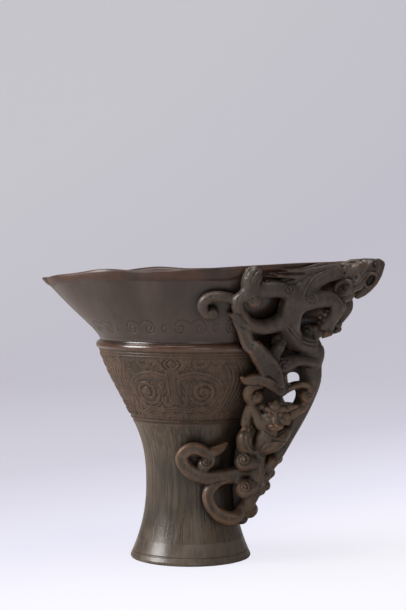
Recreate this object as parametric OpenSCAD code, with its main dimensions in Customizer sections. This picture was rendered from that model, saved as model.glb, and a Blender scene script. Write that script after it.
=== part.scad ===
// Horn libation cup with an openwork handle of dragons.
// Millimetres. The cup stands on z = 0 with its axis on Z, its spout at -X and its handle at +X.
// The near side is -Y and the far side is +Y. Each carved member is a solid of its own, seated
// face to face on the wall of the cup and on the members that carry it.

/* [Cup] */
// Height of the rim at the handle end
cup_h = 130; // [120:1:142]
// How much lower the rim is at the spout
rim_drop = 7.4; // [0:0.2:10]
// From the axis to the rim at the spout and at the handle
mouth_half_l = 66.5; // [60:0.5:72]
// From the axis to the rim at either side
mouth_half_w = 50; // [45:0.5:56]
// Thickness of the mouth's wall, measured level
mouth_wall = 4.6; // [3:0.1:6]
// Height of the thickened lip
lip_h = 3; // [2:0.1:4.5]
// How far the lip stands out of the wall
lip_out = 0.8; // [0.3:0.1:1.6]
// Depth of the rim's petals
petal_depth = 0.8; // [0:0.1:1.5]
// How far the spout cuts into the rim
spout_cut = 2.6; // [0:0.1:4]

/* [Ledge and band] */
// Height of the step's flat top
ledge_z = 95; // [90:0.5:100]
// Thickness of the step
ledge_h = 1.6; // [1:0.1:3]
// How far the step stands out of the band
ledge_out = 0.5; // [0.2:0.1:2]
// How far the mouth stands back from the band's upper edge
mouth_back = 1.6; // [0.5:0.1:4]
// Height at which the band begins
band_z = 60.3; // [54:0.5:66]
// Radius of the band at its lower edge
band_low_r = 25.3; // [23:0.1:28]
// Radius of the band at its upper edge
band_top_r = 40.8; // [38:0.1:40.9]
// Swell of the band between its edges
band_swell = 1.1; // [0:0.1:2]
// Thickness of the band's wall, measured level
band_wall = 5; // [3.5:0.1:7]

/* [Waist and foot] */
// Height of the narrowest place
waist_z = 32; // [26:0.5:40]
// Radius of the narrowest place
waist_r = 19.6; // [17:0.1:22]
// Height of the well's bottom
well_z = 45; // [38:0.5:50]
// Height of the foot's plinth
foot_h = 9; // [6:0.5:14]
// Radius of the foot
foot_r = 27; // [24:0.1:31]
// Height of the rounding under the foot's edge
foot_round = 1.5; // [0.5:0.1:3]

/* [Handle] */
// Measure of how far the members stand out from the wall
reach = 46; // [42:0.5:50]
// Radius of the bare stem at its thickest
stem_r = 5.4; // [4.6:0.1:6.4]
// Radius of the rim dragon's body at its thickest
dragon_r = 5.4; // [4.8:0.1:6]
// Radius of the rim dragon's legs at their thickest
leg_r = 3.2; // [2.8:0.1:3.6]
// Size of the rim dragon's head
head_r = 4.8; // [4.2:0.1:5.4]
// Radius of the climbing dragon's back
climber_r = 3.6; // [3.2:0.1:4]
// Size of the climbing dragon's face
face_r = 5.4; // [4.8:0.1:6]
// Radius of the tails and scrolls at their thickest
scroll_r = 2.7; // [2.4:0.1:3]
// Radius of the knobs and locks at their thickest
knob_r = 2.2; // [1.9:0.1:2.6]
// Thickness of the web between the stem and the wall
web_t = 5; // [4:0.1:6]
// Radius of the cloud's rolls
cloud_r = 4; // [3.4:0.1:4.6]
// Radius of the two openings through the web
web_hole_r = 3.4; // [2.6:0.1:4]

/* [Hidden] */
SIDE_NAMES = ["near", "far"];
MEMBERS = [
    "rim_dragon_body", "rim_dragon_head", "rim_dragon_mane", "rim_dragon_foreleg",
    "rim_dragon_hindleg", "rim_dragon_tail", "tail_hook", "prop_leg", "climber_head",
    "climber_mane", "climber_body", "climber_arms", "climber_tail", "ring_scroll", "root_knobs"
];

// Colours of the horn
HORN = [0.27, 0.22, 0.19];
HORN_PALE = [0.36, 0.29, 0.23];
HORN_RED = [0.38, 0.23, 0.15];

// Side of the cup that a member lies on: its angle is turned by this sign
NEAR = -1;
FAR = 1;

// Radius of the step, and of the mouth where it stands on the step
ledge_r = band_top_r + ledge_out;
mouth_low_r = band_top_r - mouth_back;

// Number of petals round the rim, and the width of the spout in degrees
petals = 12;
spout_turn = 5;
// Powers of the curves of foot, waist and mouth
foot_curve = 2.1;
waist_curve = 2.6;
swell_curve = 1.6;
mouth_curve = 5;
// Share by which the mouth starts steeper than a straight flare
mouth_steep_share = 0.8;

// Steps round the mouth, round a turned piece and round a member
mouth_steps = 72;
turn_steps = 96;
tube_sides = 7;
thin_sides = 6;
bead_sides = 7;

// Heights of the mouth's outer and inner rings, as shares of the way from ledge to rim
mouth_shares = [0, 0.06, 0.15, 0.30, 0.52, 0.76];

// Angle between a direction and the spout's
function from_spout(a) = let (turn = (a % 360 + 360) % 360) turn - 180;

// Height of the rim in a direction
function rim_z(a) =
    cup_h - rim_drop * (1 - cos(a)) / 2 - spout_cut * 0.4 * exp(-pow(from_spout(a) / spout_turn, 2));

// Plan of the rim: an oval with petals and a spout
function rim_r(a) =
    mouth_half_l * mouth_half_w / norm([mouth_half_w * cos(a), mouth_half_l * sin(a)])
    + petal_depth * (cos(petals * a) - 1) / 2
    - spout_cut * exp(-pow(from_spout(a) / spout_turn, 2));

// Radius of the stem of the cup below the band
function waist_wall_r(z) = z < waist_z
    ? waist_r + (foot_r - waist_r) * pow(1 - z / waist_z, foot_curve)
    : waist_r + (band_low_r - waist_r) * pow((z - waist_z) / (band_z - waist_z), waist_curve);

// Radius of the band
function band_wall_r(z) =
    let (t = (z - band_z) / (ledge_z - ledge_h - band_z))
    band_low_r + (band_top_r - band_low_r) * t + band_swell * sin(180 * pow(t, swell_curve));

// Radius of the mouth in a direction, and the same without its petals and spout
function flare_share(t) = t * (1 - mouth_steep_share * pow(max(0, 1 - t), mouth_curve));
function mouth_wall_r(a, z) =
    let (t = (z - ledge_z) / (rim_z(a) - ledge_z))
    mouth_low_r + (rim_r(a) - mouth_low_r) * flare_share(t);

// Radius of the cup's wall anywhere
function wall_r(a, z) =
    z < band_z ? waist_wall_r(max(0, z))
    : z < ledge_z - ledge_h ? band_wall_r(z)
    : z < ledge_z ? ledge_r
    : mouth_wall_r(a, min(z, rim_z(a)));

// A place beside the wall: degrees from the handle's middle plane, share of the cup's height,
// share of the reach that it stands out, and share of the member's thickness
function place(row, side) =
    let (a = side * row[0], z = row[1] * cup_h, r = wall_r(a, z) + row[2] * reach)
    [r * cos(a), r * sin(a), z];

// The place at a distance outwards, across and upwards from another place
function beside(row, out, across, up, thick_share = 1) =
    let (z = row[1] * cup_h, r = wall_r(row[0], z) + row[2] * reach)
    let (z2 = z + up, a2 = row[0] + across / r * 180 / PI)
    [a2, z2 / cup_h, (r + out - wall_r(a2, z2)) / reach, thick_share];

// Smooth curve through the rows of a table, with some steps between each two
function between(rows, i, t) =
    let (p = rows[max(i - 1, 0)], q = rows[i], r = rows[i + 1], s = rows[min(i + 2, len(rows) - 1)])
    q + (r - p) * t / 2
    + (2 * p - 5 * q + 4 * r - s) * t * t / 2
    + (3 * q - p - 3 * r + s) * t * t * t / 2;
function smooth(rows, steps) = [
    for (i = [0:len(rows) - 2]) for (j = [0:steps - 1]) between(rows, i, j / steps),
    rows[len(rows) - 1]
];

// Frames along a curve, each turned as little as possible from the one before
function unit(v) = v / norm(v);
function heading(points, i) = unit(points[min(i + 1, len(points) - 1)] - points[max(i - 1, 0)]);
function square_to(v, t) = unit(v - (v * t) * t);
function frames(points, first, i = 0) =
    i == len(points) ? [] :
    let (n = square_to(first, heading(points, i)))
    concat([n], frames(points, n, i + 1));

// Ring of points round a place
function ring(centre, t, n, r, sides) =
    let (b = cross(t, n))
    [for (j = [0:sides - 1]) centre + r * (cos(360 * j / sides) * n + sin(360 * j / sides) * b)];

// Closed skin over rings of points that all have the same number of sides
module skin(rings, sides) {
    last = (len(rings) - 1) * sides;
    polyhedron(
        points = [for (one = rings) for (p = one) p],
        faces = concat(
            [for (i = [0:len(rings) - 2]) for (j = [0:sides - 1])
                let (k = (j + 1) % sides, a = i * sides)
                each [[a + j, a + sides + j, a + sides + k], [a + j, a + sides + k, a + k]]],
            [for (j = [1:sides - 2]) [0, j, j + 1]],
            [for (j = [1:sides - 2]) [last, last + j + 1, last + j]]
        )
    );
}

// Round limb along the rows of a table, with rounded ends
module limb(rows, thick, side, steps = 2, sides = tube_sides) {
    path = smooth(rows, steps);
    last = len(path) - 1;
    points = [for (row = path) place(row, side)];
    radii = [for (row = path) max(row[3], tip_share) * thick];
    first = square_to(unit([points[0][0], points[0][1], 0]), heading(points, 0));
    sides_up = frames(points, first);
    cap = function (i, way) ring(
        points[i] + way * cap_out_share * radii[i] * heading(points, i),
        heading(points, i), sides_up[i], cap_r_share * radii[i], sides
    );
    rings = concat(
        [cap(0, -1)],
        [for (i = [0:last]) ring(points[i], heading(points, i), sides_up[i], radii[i], sides)],
        [cap(last, 1)]
    );
    skin(rings, sides);
}
// Thinnest place of a limb, and the rounding of its ends
tip_share = 0.2;
cap_out_share = 0.6;
cap_r_share = 0.55;

// Bead at a place, and a short link between two beads
module bead(row, thick, side, sides = bead_sides) {
    translate(place(row, side)) sphere(r = row[3] * thick, $fn = sides);
}
module link(from, to, thick, side, sides = bead_sides) {
    hull() {
        bead(from, thick, side, sides);
        bead(to, thick, side, sides);
    }
}
// Chain of links along the rows of a table
module chain(rows, thick, side, steps = 1, sides = bead_sides) {
    path = smooth(rows, steps);
    for (i = [0:len(path) - 2]) link(path[i], path[i + 1], thick, side, sides);
}

// Links that start and end at offsets from one place, as shares of a size:
// outwards, across, upwards and thickness
module links_about(centre, pairs, size, side, sides = bead_sides) {
    for (pair = pairs)
        link(
            beside(centre, pair[0][0] * size, pair[0][1] * size, pair[0][2] * size, pair[0][3]),
            beside(centre, pair[1][0] * size, pair[1][1] * size, pair[1][2] * size, pair[1][3]),
            size, side, sides
        );
}

// Paw with a row of toes and claws, spread round the end of a leg
toe_turns = [-50, 0, 50];
toe_reach_share = 0.75;
toe_r_share = 0.42;
claw_reach_share = 1.25;
claw_r_share = 0.2;
module paw(row, size, side, turn) {
    for (toe = toe_turns) {
        a = turn + toe;
        root = beside(row, 0, 0, 0, toe_r_share * 1.2);
        toe_reach = size * toe_reach_share;
        claw_reach = size * claw_reach_share;
        knuckle = beside(row, 0, toe_reach * cos(a), toe_reach * sin(a), toe_r_share);
        tip = beside(row, 0, claw_reach * cos(a), claw_reach * sin(a), claw_r_share);
        link(root, knuckle, size, side, thin_sides);
        link(knuckle, tip, size, side, thin_sides);
    }
}

// Raised spiral on the cheek of a joint, facing sideways
spiral_links = 7;
spiral_turns = 1.35;
spiral_thick_share = 0.13;
module spiral(row, size, side) {
    for (i = [0:spiral_links - 1]) {
        link(spiral_place(row, size, i), spiral_place(row, size, i + 1), size, side, 5);
    }
}
function spiral_place(row, size, i) =
    let (share = 1 - 0.75 * i / spiral_links, a = 360 * spiral_turns * i / spiral_links)
    beside(row, size * share * cos(a), 0, size * share * sin(a), spiral_thick_share);

// Stem: degrees, share of height, share of reach, share of thickness
stem_shares = [
    [0, 0.135, 0.040, 0.55], [0, 0.165, 0.085, 0.56], [0, 0.216, 0.172, 0.56], [0, 0.267, 0.250, 0.56],
    [0, 0.319, 0.330, 0.58], [0, 0.370, 0.402, 0.60], [0, 0.431, 0.445, 0.62], [0, 0.492, 0.452, 0.68],
    [0, 0.549, 0.435, 0.76], [0, 0.606, 0.395, 0.86], [0, 0.660, 0.322, 0.94], [0, 0.700, 0.292, 0.98]
];

// Web in the middle plane: its outer edge as shares of height and reach, and its openings
web_edge_shares = [
    [0.150, 0.060], [0.216, 0.172], [0.267, 0.250], [0.319, 0.330], [0.370, 0.402], [0.431, 0.445],
    [0.492, 0.452], [0.549, 0.435], [0.606, 0.395], [0.660, 0.322], [0.710, 0.290], [0.760, 0.200]
];
web_hole_shares = [[0.611, 0.230], [0.551, 0.283]];

// Cloud between the two dragons: the ends of its rolls, each from the wall outwards
cloud_roll_shares = [
    [[0, 0.770, 0.050, 0.90], [0, 0.780, 0.320, 0.85]],
    [[0, 0.800, 0.050, 1], [0, 0.815, 0.395, 0.90]],
    [[0, 0.835, 0.050, 1], [0, 0.855, 0.405, 0.95]],
    [[0, 0.870, 0.050, 1], [0, 0.895, 0.385, 1]],
    [[0, 0.905, 0.050, 1], [0, 0.932, 0.360, 1]],
    [[0, 0.940, 0.050, 0.95], [0, 0.962, 0.270, 0.95]]
];
// Smaller knobs on either side of those, as shares of the cloud's own size
cloud_across_share = 0.85;
cloud_back_share = 0.8;

// Rim dragon: body from the fork to the neck
body_shares = [
    [0, 0.690, 0.298, 0.90], [4, 0.713, 0.262, 0.90], [9, 0.730, 0.220, 0.88], [15, 0.752, 0.180, 0.90],
    [22.4, 0.790, 0.150, 0.96], [27.6, 0.838, 0.135, 1], [28.6, 0.886, 0.120, 0.98],
    [24.8, 0.933, 0.100, 0.86], [17.5, 0.962, 0.115, 0.72]
];
// Where each neck meets its head
neck_shares = [[12, 0.970, 0.180, 0.62], [9.6, 0.976, 0.300, 0.62]];
shoulder_share = [31.5, 0.905, 0.190, 1];

// Rim dragon: where each head sits, which differs between the two sides
head_shares = [[10.9, 0.968, 0.220, 1], [8.4, 0.982, 0.350, 1]];
function side_index(side) = side == NEAR ? 0 : 1;
// Links of the head about that place
head_link_shares = [
    [[-1, 0.1, 0, 0.72], [-0.1, 0, 0.05, 0.92]],
    [[-0.1, 0, 0.05, 0.92], [0.6, -0.05, 0.15, 0.75]],
    [[0.6, -0.05, 0.15, 0.72], [1.15, -0.1, 0.40, 0.50]],
    [[1.15, -0.1, 0.40, 0.48], [1.35, -0.1, 0.70, 0.30]],
    [[0.1, 0, -0.60, 0.60], [0.95, -0.05, -0.30, 0.38]],
    [[-0.3, 0.5, 0.65, 0.30], [0.5, 0.4, 0.65, 0.22]],
    [[-0.3, -0.5, 0.65, 0.30], [0.5, -0.4, 0.65, 0.22]],
    [[0, 0.72, 0.35, 0.24], [0.3, 0.68, 0.35, 0.24]],
    [[-0.9, 0.3, 0.55, 0.32], [-1.7, 0.5, 0.85, 0.18]],
    [[-0.2, -0.2, -0.7, 0.62], [0.2, -0.7, -1.9, 0.50]]
];
cheek_ring_shares = [-0.5, 0.6, -1.2, 0.72];
cheek_ring_links = 7;
cheek_ring_thick_share = 0.30;

// Rim dragon: three locks of mane along the rim
mane_shares = [
    [[13, 0.985, 0.140, 1.1], [21, 0.981, 0.085, 1.1], [29, 0.975, 0.055, 0.9], [37, 0.973, 0.040, 0.5]],
    [[17, 0.968, 0.110, 1.1], [25, 0.962, 0.075, 1.1], [34, 0.957, 0.050, 0.8], [42, 0.962, 0.035, 0.5]],
    [[24, 0.945, 0.090, 1], [31, 0.941, 0.065, 1], [38, 0.936, 0.050, 0.8], [43, 0.943, 0.035, 0.5]]
];

// Rim dragon: legs, each ending in a paw
foreleg_shares = [
    [31, 0.905, 0.090, 1], [40.7, 0.907, 0.110, 1], [46.2, 0.899, 0.115, 0.95], [51, 0.895, 0.100, 0.92],
    [53.3, 0.919, 0.080, 0.85], [53.8, 0.948, 0.065, 0.80], [53.4, 0.972, 0.060, 0.95]
];
hindleg_shares = [
    [27.8, 0.866, 0.140, 1.30], [26, 0.877, 0.210, 1.35], [21.5, 0.881, 0.270, 1.15],
    [18.2, 0.880, 0.325, 1], [16.5, 0.867, 0.385, 0.92], [15.6, 0.842, 0.440, 0.90],
    [15.3, 0.815, 0.450, 0.85], [15.2, 0.792, 0.440, 0.90]
];
hip_share = [28.8, 0.879, 0.275, 1];

// Rim dragon: tail on the bowl, and the hook beyond it
tail_shares = [
    [25, 0.816, 0.125, 1.20], [32, 0.799, 0.110, 1.15], [39, 0.791, 0.088, 1.04],
    [47.6, 0.806, 0.070, 0.92], [53.8, 0.842, 0.060, 0.84], [56.7, 0.876, 0.055, 0.80],
    [55.2, 0.896, 0.060, 0.76], [51.4, 0.894, 0.070, 0.72], [49, 0.884, 0.078, 0.80]
];
hook_shares = [
    [54, 0.873, 0.052, 0.62], [58.5, 0.886, 0.046, 0.66], [63, 0.892, 0.042, 0.68],
    [67.7, 0.892, 0.040, 0.70], [71.4, 0.880, 0.040, 0.70], [72.4, 0.857, 0.040, 0.68],
    [70, 0.834, 0.040, 0.66], [66.4, 0.836, 0.042, 0.72]
];

// The far side's prop and locks lie closer to the wall than the near side's: the degrees that
// they are turned by, where that turn is full, and the share by which they are let down
far_turn = 8.5;
far_turn_full = 18;
far_low_share = 0.22;
function settled(rows, side) = side == NEAR ? rows : [
    for (row = rows)
        let (full = min(1, row[0] / far_turn_full))
        [row[0] + far_turn * full, row[1], row[2] * (1 - far_low_share * full), row[3]]
];

// Forked leg between the handle and the bowl
prop_shares = [
    [53.5, 0.817, 0.055, 0.62], [49.1, 0.783, 0.080, 0.76], [44.3, 0.735, 0.110, 0.95],
    [37, 0.690, 0.135, 1.25], [30, 0.652, 0.155, 1.40], [23.5, 0.612, 0.190, 1.15],
    [18.6, 0.580, 0.250, 0.85]
];
prop_fork_shares = [
    [21, 0.765, 0.125, 0.95], [23.5, 0.730, 0.110, 0.78], [27, 0.694, 0.120, 0.90], [29, 0.660, 0.145, 1.10]
];
prop_haunch_shares = [
    [17.8, 0.662, 0.170, 1.25], [13.8, 0.676, 0.240, 0.85], [9, 0.672, 0.310, 0.7], [3, 0.664, 0.370, 0.7]
];
haunch_mark_share = [21, 0.662, 0.175, 1];

// Climbing dragon: place of its face, and the links of the face about it
face_share = [20.6, 0.498, 0.342, 1];
face_link_shares = [
    [[0, 0, 0.45, 0.85], [0, 0.05, -0.30, 0.80]],
    [[-0.6, 0.1, -0.15, 0.50], [0.6, 0.1, -0.15, 0.50]],
    [[0, 0.4, -0.35, 0.48], [0.05, 0.5, -0.85, 0.40]],
    [[-0.75, 0.5, 0.48, 0.24], [-0.12, 0.68, 0.15, 0.22]],
    [[0.75, 0.5, 0.48, 0.24], [0.12, 0.68, 0.15, 0.22]],
    [[-0.75, 0.1, 0.55, 0.34], [-1.15, 0.1, 1, 0.16]],
    [[0.75, 0.1, 0.55, 0.34], [1.15, 0.1, 1, 0.16]],
    [[0, 0.2, 0.95, 0.36], [0, 0.2, 1.45, 0.16]],
    [[-0.1, 0.3, -1.05, 0.32], [-0.3, 0.2, -1.45, 0.16]]
];

// Climbing dragon: its two locks
left_lock_shares = [
    [18.3, 0.572, 0.255, 0.70], [23.3, 0.598, 0.165, 1], [29.2, 0.609, 0.095, 1], [33.4, 0.600, 0.070, 0.95],
    [34.4, 0.575, 0.075, 0.9], [31.6, 0.546, 0.105, 0.95], [28.8, 0.553, 0.135, 1.1]
];
right_lock_shares = [
    [17.8, 0.568, 0.265, 0.65], [14.6, 0.590, 0.325, 0.75], [12.4, 0.598, 0.390, 0.8],
    [10.4, 0.594, 0.455, 0.85], [9.8, 0.572, 0.495, 0.9], [10.6, 0.556, 0.475, 1.1]
];

// Climbing dragon: back, haunches and forelegs
back_shares = [
    [19, 0.470, 0.340, 0.8], [17.2, 0.444, 0.345, 0.9], [16.2, 0.410, 0.315, 1], [16.6, 0.369, 0.275, 1],
    [16.4, 0.326, 0.270, 1], [15.6, 0.283, 0.270, 1], [14.6, 0.237, 0.235, 0.95], [14, 0.196, 0.175, 0.85],
    [12, 0.160, 0.110, 0.7]
];
left_haunch_shares = [
    [28.5, 0.425, 0.190, 0.8], [28.8, 0.404, 0.200, 1.1], [25.5, 0.385, 0.225, 0.9], [19, 0.375, 0.270, 0.9]
];
right_haunch_shares = [
    [11, 0.438, 0.465, 0.5], [14.2, 0.420, 0.435, 0.95], [17.3, 0.403, 0.390, 1.15], [18, 0.388, 0.330, 1]
];
low_left_joint_shares = [[28.4, 0.338, 0.215, 1.15], [19, 0.335, 0.260, 1]];
low_foot_joint_shares = [[26.6, 0.248, 0.220, 1.1], [17, 0.255, 0.250, 1]];
joint_mark_shares = [[32, 0.338, 0.225, 1], [30.4, 0.248, 0.225, 1]];
left_arm_shares = [
    [19.5, 0.462, 0.320, 1], [23.8, 0.466, 0.265, 1], [26.8, 0.500, 0.185, 0.9], [29.6, 0.524, 0.115, 0.8],
    [31, 0.500, 0.120, 0.75], [31.6, 0.468, 0.150, 0.75]
];
right_arm_shares = [
    [17.6, 0.470, 0.370, 0.95], [15.6, 0.490, 0.415, 0.9], [12.6, 0.508, 0.455, 0.85],
    [9, 0.520, 0.485, 0.8]
];

// Climbing dragon: the C-scroll of its tail, and the ring-shaped scroll under it
climber_tail_shares = [
    [17, 0.306, 0.250, 0.90], [23, 0.306, 0.175, 0.85], [31, 0.300, 0.115, 0.85],
    [41.5, 0.294, 0.080, 0.95], [58.8, 0.291, 0.072, 1.05], [73.2, 0.303, 0.072, 1.10],
    [82.8, 0.328, 0.074, 1.08], [86.5, 0.358, 0.076, 1], [81, 0.383, 0.078, 0.92],
    [71.5, 0.388, 0.080, 0.88], [62.5, 0.372, 0.085, 0.86], [58.5, 0.348, 0.088, 0.84],
    [64, 0.335, 0.090, 0.86]
];
tail_branch_shares = [
    [62, 0.370, 0.085, 0.8], [51.3, 0.378, 0.085, 0.7], [40, 0.392, 0.105, 0.75], [30, 0.402, 0.180, 0.9]
];
ring_scroll_shares = [
    [24, 0.262, 0.190, 0.9], [30, 0.283, 0.110, 0.9], [44.1, 0.281, 0.078, 0.9],
    [55.2, 0.257, 0.072, 0.9], [58.8, 0.225, 0.070, 0.9], [54.5, 0.187, 0.074, 0.9],
    [44.3, 0.160, 0.080, 0.9], [29.2, 0.148, 0.085, 0.9], [17, 0.158, 0.090, 0.95],
    [10, 0.176, 0.110, 0.95]
];
root_knob_shares = [
    [[12, 0.300, 0.300, 0.8], [9.5, 0.332, 0.375, 1]],
    [[12, 0.262, 0.290, 0.8], [10.7, 0.281, 0.315, 0.9]],
    [[12, 0.225, 0.240, 0.8], [11.3, 0.237, 0.268, 1]],
    [[8, 0.175, 0.120, 1], [15.4, 0.150, 0.130, 1.15]]
];

// Heights along the profile of a turned piece
profile_steps = 16;
core_steps = 7;
function heights(low, high, steps = profile_steps) = [for (i = [0:steps]) low + (high - low) * i / steps];

// Radius of the inside below the mouth
function inside_r(z) =
    let (low_r = band_low_r - band_wall, top_r = mouth_low_r - mouth_wall)
    z < band_z
        ? low_r * sqrt(max(0, 1 - pow((band_z - z) / (band_z - well_z), 2)))
        : low_r + (top_r - low_r) * (z - band_z) / (ledge_z - band_z);

module foot() {
    color(HORN) rotate_extrude($fn = turn_steps) polygon(concat(
        [[0, 0], [waist_wall_r(0) - foot_round / 2, 0]],
        [for (z = heights(foot_round, foot_h)) [waist_wall_r(z), z]],
        [[0, foot_h]]
    ));
}

module waist() {
    color(HORN) rotate_extrude($fn = turn_steps) polygon(concat(
        [[0, foot_h]],
        [for (z = heights(foot_h, band_z)) [waist_wall_r(z), z]],
        [for (z = heights(-band_z, -well_z)) [inside_r(-z), -z]]
    ));
}

module mask_band() {
    color(HORN_PALE) rotate_extrude($fn = turn_steps) polygon(concat(
        [for (z = heights(band_z, ledge_z - ledge_h)) [band_wall_r(z), z]],
        [for (z = heights(ledge_h - ledge_z, -band_z)) [inside_r(-z), -z]]
    ));
}

module ledge_ring() {
    low_z = ledge_z - ledge_h;
    color(HORN_RED) rotate_extrude($fn = turn_steps) polygon([
        [inside_r(low_z), low_z], [band_top_r, low_z], [ledge_r, low_z + ledge_h / 3],
        [ledge_r, ledge_z - ledge_h / 3], [ledge_r - ledge_h / 3, ledge_z],
        [inside_r(ledge_z), ledge_z]
    ]);
}

// Rings of the mouth: up the outside, over the lip and down the inside
function mouth_ring(share, out) = [
    for (j = [0:mouth_steps - 1])
        let (a = 360 * j / mouth_steps, z = ledge_z + share * (rim_z(a) - ledge_z))
        let (r = mouth_wall_r(a, z) + out)
        [r * cos(a), r * sin(a), z]
];
function lip_ring(down, out) = [
    for (j = [0:mouth_steps - 1])
        let (a = 360 * j / mouth_steps, z = rim_z(a) - down)
        let (r = mouth_wall_r(a, z) + out)
        [r * cos(a), r * sin(a), z]
];
function outer_rings() = concat(
    [for (share = mouth_shares) mouth_ring(share, 0)],
    [lip_ring(lip_h, 0), lip_ring(lip_h * 0.75, lip_out), lip_ring(lip_h * 0.25, lip_out), lip_ring(0, 0)]
);
function inner_rings() = concat(
    [lip_ring(0, -mouth_wall / 2), lip_ring(lip_h / 3, -mouth_wall * 0.8)],
    [for (i = [len(mouth_shares) - 1:-1:0]) mouth_ring(mouth_shares[i], -mouth_wall)]
);

module mouth_bowl() {
    rings = concat(outer_rings(), inner_rings());
    count = len(rings);
    color(HORN) polyhedron(
        points = [for (one = rings) for (p = one) p],
        faces = [for (i = [0:count - 1]) for (j = [0:mouth_steps - 1])
            let (k = (j + 1) % mouth_steps, a = i * mouth_steps, b = (i + 1) % count * mouth_steps)
            each [[a + j, b + j, b + k], [a + j, b + k, a + k]]]
    );
}

// Everything inside the cup's outer wall, which the members are cut back to
module cup_core() {
    rotate_extrude($fn = turn_steps / 2) polygon(concat(
        [[0, 0], [waist_wall_r(0), 0]],
        [for (z = heights(foot_h, band_z, core_steps)) [waist_wall_r(z), z]],
        [for (z = heights(band_z, ledge_z - ledge_h, core_steps)) [band_wall_r(z), z]],
        [
            [band_top_r, ledge_z - ledge_h], [ledge_r, ledge_z - ledge_h * 2 / 3],
            [ledge_r, ledge_z - ledge_h / 3], [ledge_r - ledge_h / 3, ledge_z], [0, ledge_z]
        ]
    ));
    skin(outer_rings(), mouth_steps);
}

// Whole forms of the members, before they are cut to each other
module stem_form() {
    limb(stem_shares, stem_r, NEAR, 1, 12);
}
module body_form(side) {
    limb(concat(body_shares, [neck_shares[side_index(side)]]), dragon_r, side, 2, 10);
    spiral(shoulder_share, dragon_r * 0.42, side);
}
module head_form(side) {
    centre = head_shares[side_index(side)];
    links_about(centre, head_link_shares, head_r, side, thin_sides);
    for (i = [0:cheek_ring_links - 1])
        link(cheek_place(centre, i), cheek_place(centre, i + 1), head_r, side, 5);
}
function cheek_place(centre, i) =
    let (a = 360 * i / cheek_ring_links, at = cheek_ring_shares * head_r)
    beside(centre, at[0] + at[3] * cos(a), at[1], at[2] + at[3] * sin(a), cheek_ring_thick_share);
module mane_form(side) {
    for (lock = mane_shares) chain(lock, knob_r * 0.8, side, 1, thin_sides);
}
module foreleg_form(side) {
    limb(foreleg_shares, leg_r, side);
    paw(foreleg_shares[len(foreleg_shares) - 1], leg_r, side, 80);
}
module hindleg_form(side) {
    limb(hindleg_shares, leg_r, side);
    spiral(hip_share, leg_r * 0.7, side);
    paw(hindleg_shares[len(hindleg_shares) - 1], leg_r, side, 250);
}
module tail_form(side) {
    limb(tail_shares, scroll_r, side);
    bead(tail_shares[len(tail_shares) - 1], scroll_r * 1.2, side);
}
module hook_form(side) {
    limb(hook_shares, scroll_r, side, 2, thin_sides);
    bead(hook_shares[len(hook_shares) - 1], scroll_r * 1.2, side);
}
module prop_form(side) {
    limb(settled(prop_shares, side), leg_r, side);
    limb(settled(prop_fork_shares, side), leg_r, side, 2, thin_sides);
    limb(settled(prop_haunch_shares, side), leg_r, side, 2, thin_sides);
    spiral(settled([haunch_mark_share], side)[0], leg_r * 0.75, side);
}
module face_form(side) {
    links_about(face_share, face_link_shares, face_r, side, thin_sides);
}
module lock_form(side) {
    for (shares = [left_lock_shares, right_lock_shares]) {
        lock = settled(shares, side);
        limb(lock, scroll_r * 0.8, side, 2, thin_sides);
        bead(lock[len(lock) - 1], scroll_r, side);
    }
}
module climber_form(side) {
    limb(back_shares, climber_r, side, 1);
    limb(left_haunch_shares, climber_r, side);
    limb(right_haunch_shares, climber_r, side);
    limb(low_left_joint_shares, climber_r, side);
    limb(low_foot_joint_shares, climber_r, side);
    for (mark = joint_mark_shares) spiral(mark, climber_r * 0.75, side);
}
module arms_form(side) {
    limb(left_arm_shares, climber_r * 0.72, side, 2, thin_sides);
    limb(right_arm_shares, climber_r * 0.72, side, 2, thin_sides);
    paw(left_arm_shares[len(left_arm_shares) - 1], climber_r * 0.7, side, 270);
    paw(right_arm_shares[len(right_arm_shares) - 1], climber_r * 0.7, side, 120);
}
module climber_tail_form(side) {
    limb(climber_tail_shares, scroll_r, side);
    bead(climber_tail_shares[len(climber_tail_shares) - 1], scroll_r * 1.2, side);
    limb(tail_branch_shares, scroll_r, side, 2, thin_sides);
}
module ring_scroll_form(side) {
    limb(ring_scroll_shares, scroll_r, side);
}
module knobs_form(side) {
    for (pair = root_knob_shares) link(pair[0], pair[1], knob_r, side);
}

// The other side's half of the space, which a member of this side keeps out of
module other_half(side) {
    room = mouth_half_l + reach + cup_h;
    translate([-room, side == NEAR ? 0 : -room, -room]) cube([2 * room, room, 2 * room]);
}

// Handle stem and the members, each cut to the cup and to what it is carved against
module handle_stem() {
    color(HORN) difference() {
        stem_form();
        cup_core();
    }
}

module cloud_form() {
    for (pair = cloud_roll_shares) {
        link(pair[0], pair[1], cloud_r, NEAR, thin_sides);
        for (way = [-1, 1]) bead(
            beside(pair[1], -cloud_r * cloud_back_share, way * cloud_r * cloud_across_share, 0, 0.75),
            cloud_r, NEAR, thin_sides
        );
    }
}
module cloud_knobs() {
    color(HORN_PALE) difference() {
        cloud_form();
        cup_core();
        for (side = [NEAR, FAR]) {
            body_form(side);
            head_form(side);
            hindleg_form(side);
        }
    }
}

function web_place(share, out = 0) =
    let (z = share[0] * cup_h) [wall_r(0, z) + share[1] * reach + out, z];
module web_form() {
    rotate([90, 0, 0]) linear_extrude(height = web_t, center = true) difference() {
        polygon(concat(
            [for (share = web_edge_shares) web_place(share)],
            [for (i = [len(web_edge_shares) - 1:-1:0]) web_place([web_edge_shares[i][0], 0], -mouth_wall)]
        ));
        for (share = web_hole_shares) translate(web_place(share)) circle(r = web_hole_r, $fn = 24);
    }
}
module handle_web() {
    color(HORN) difference() {
        web_form();
        cup_core();
        stem_form();
        cloud_form();
        for (side = [NEAR, FAR]) body_form(side);
    }
}

function side_sign(side_name) = side_name == "near" ? NEAR : FAR;

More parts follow.
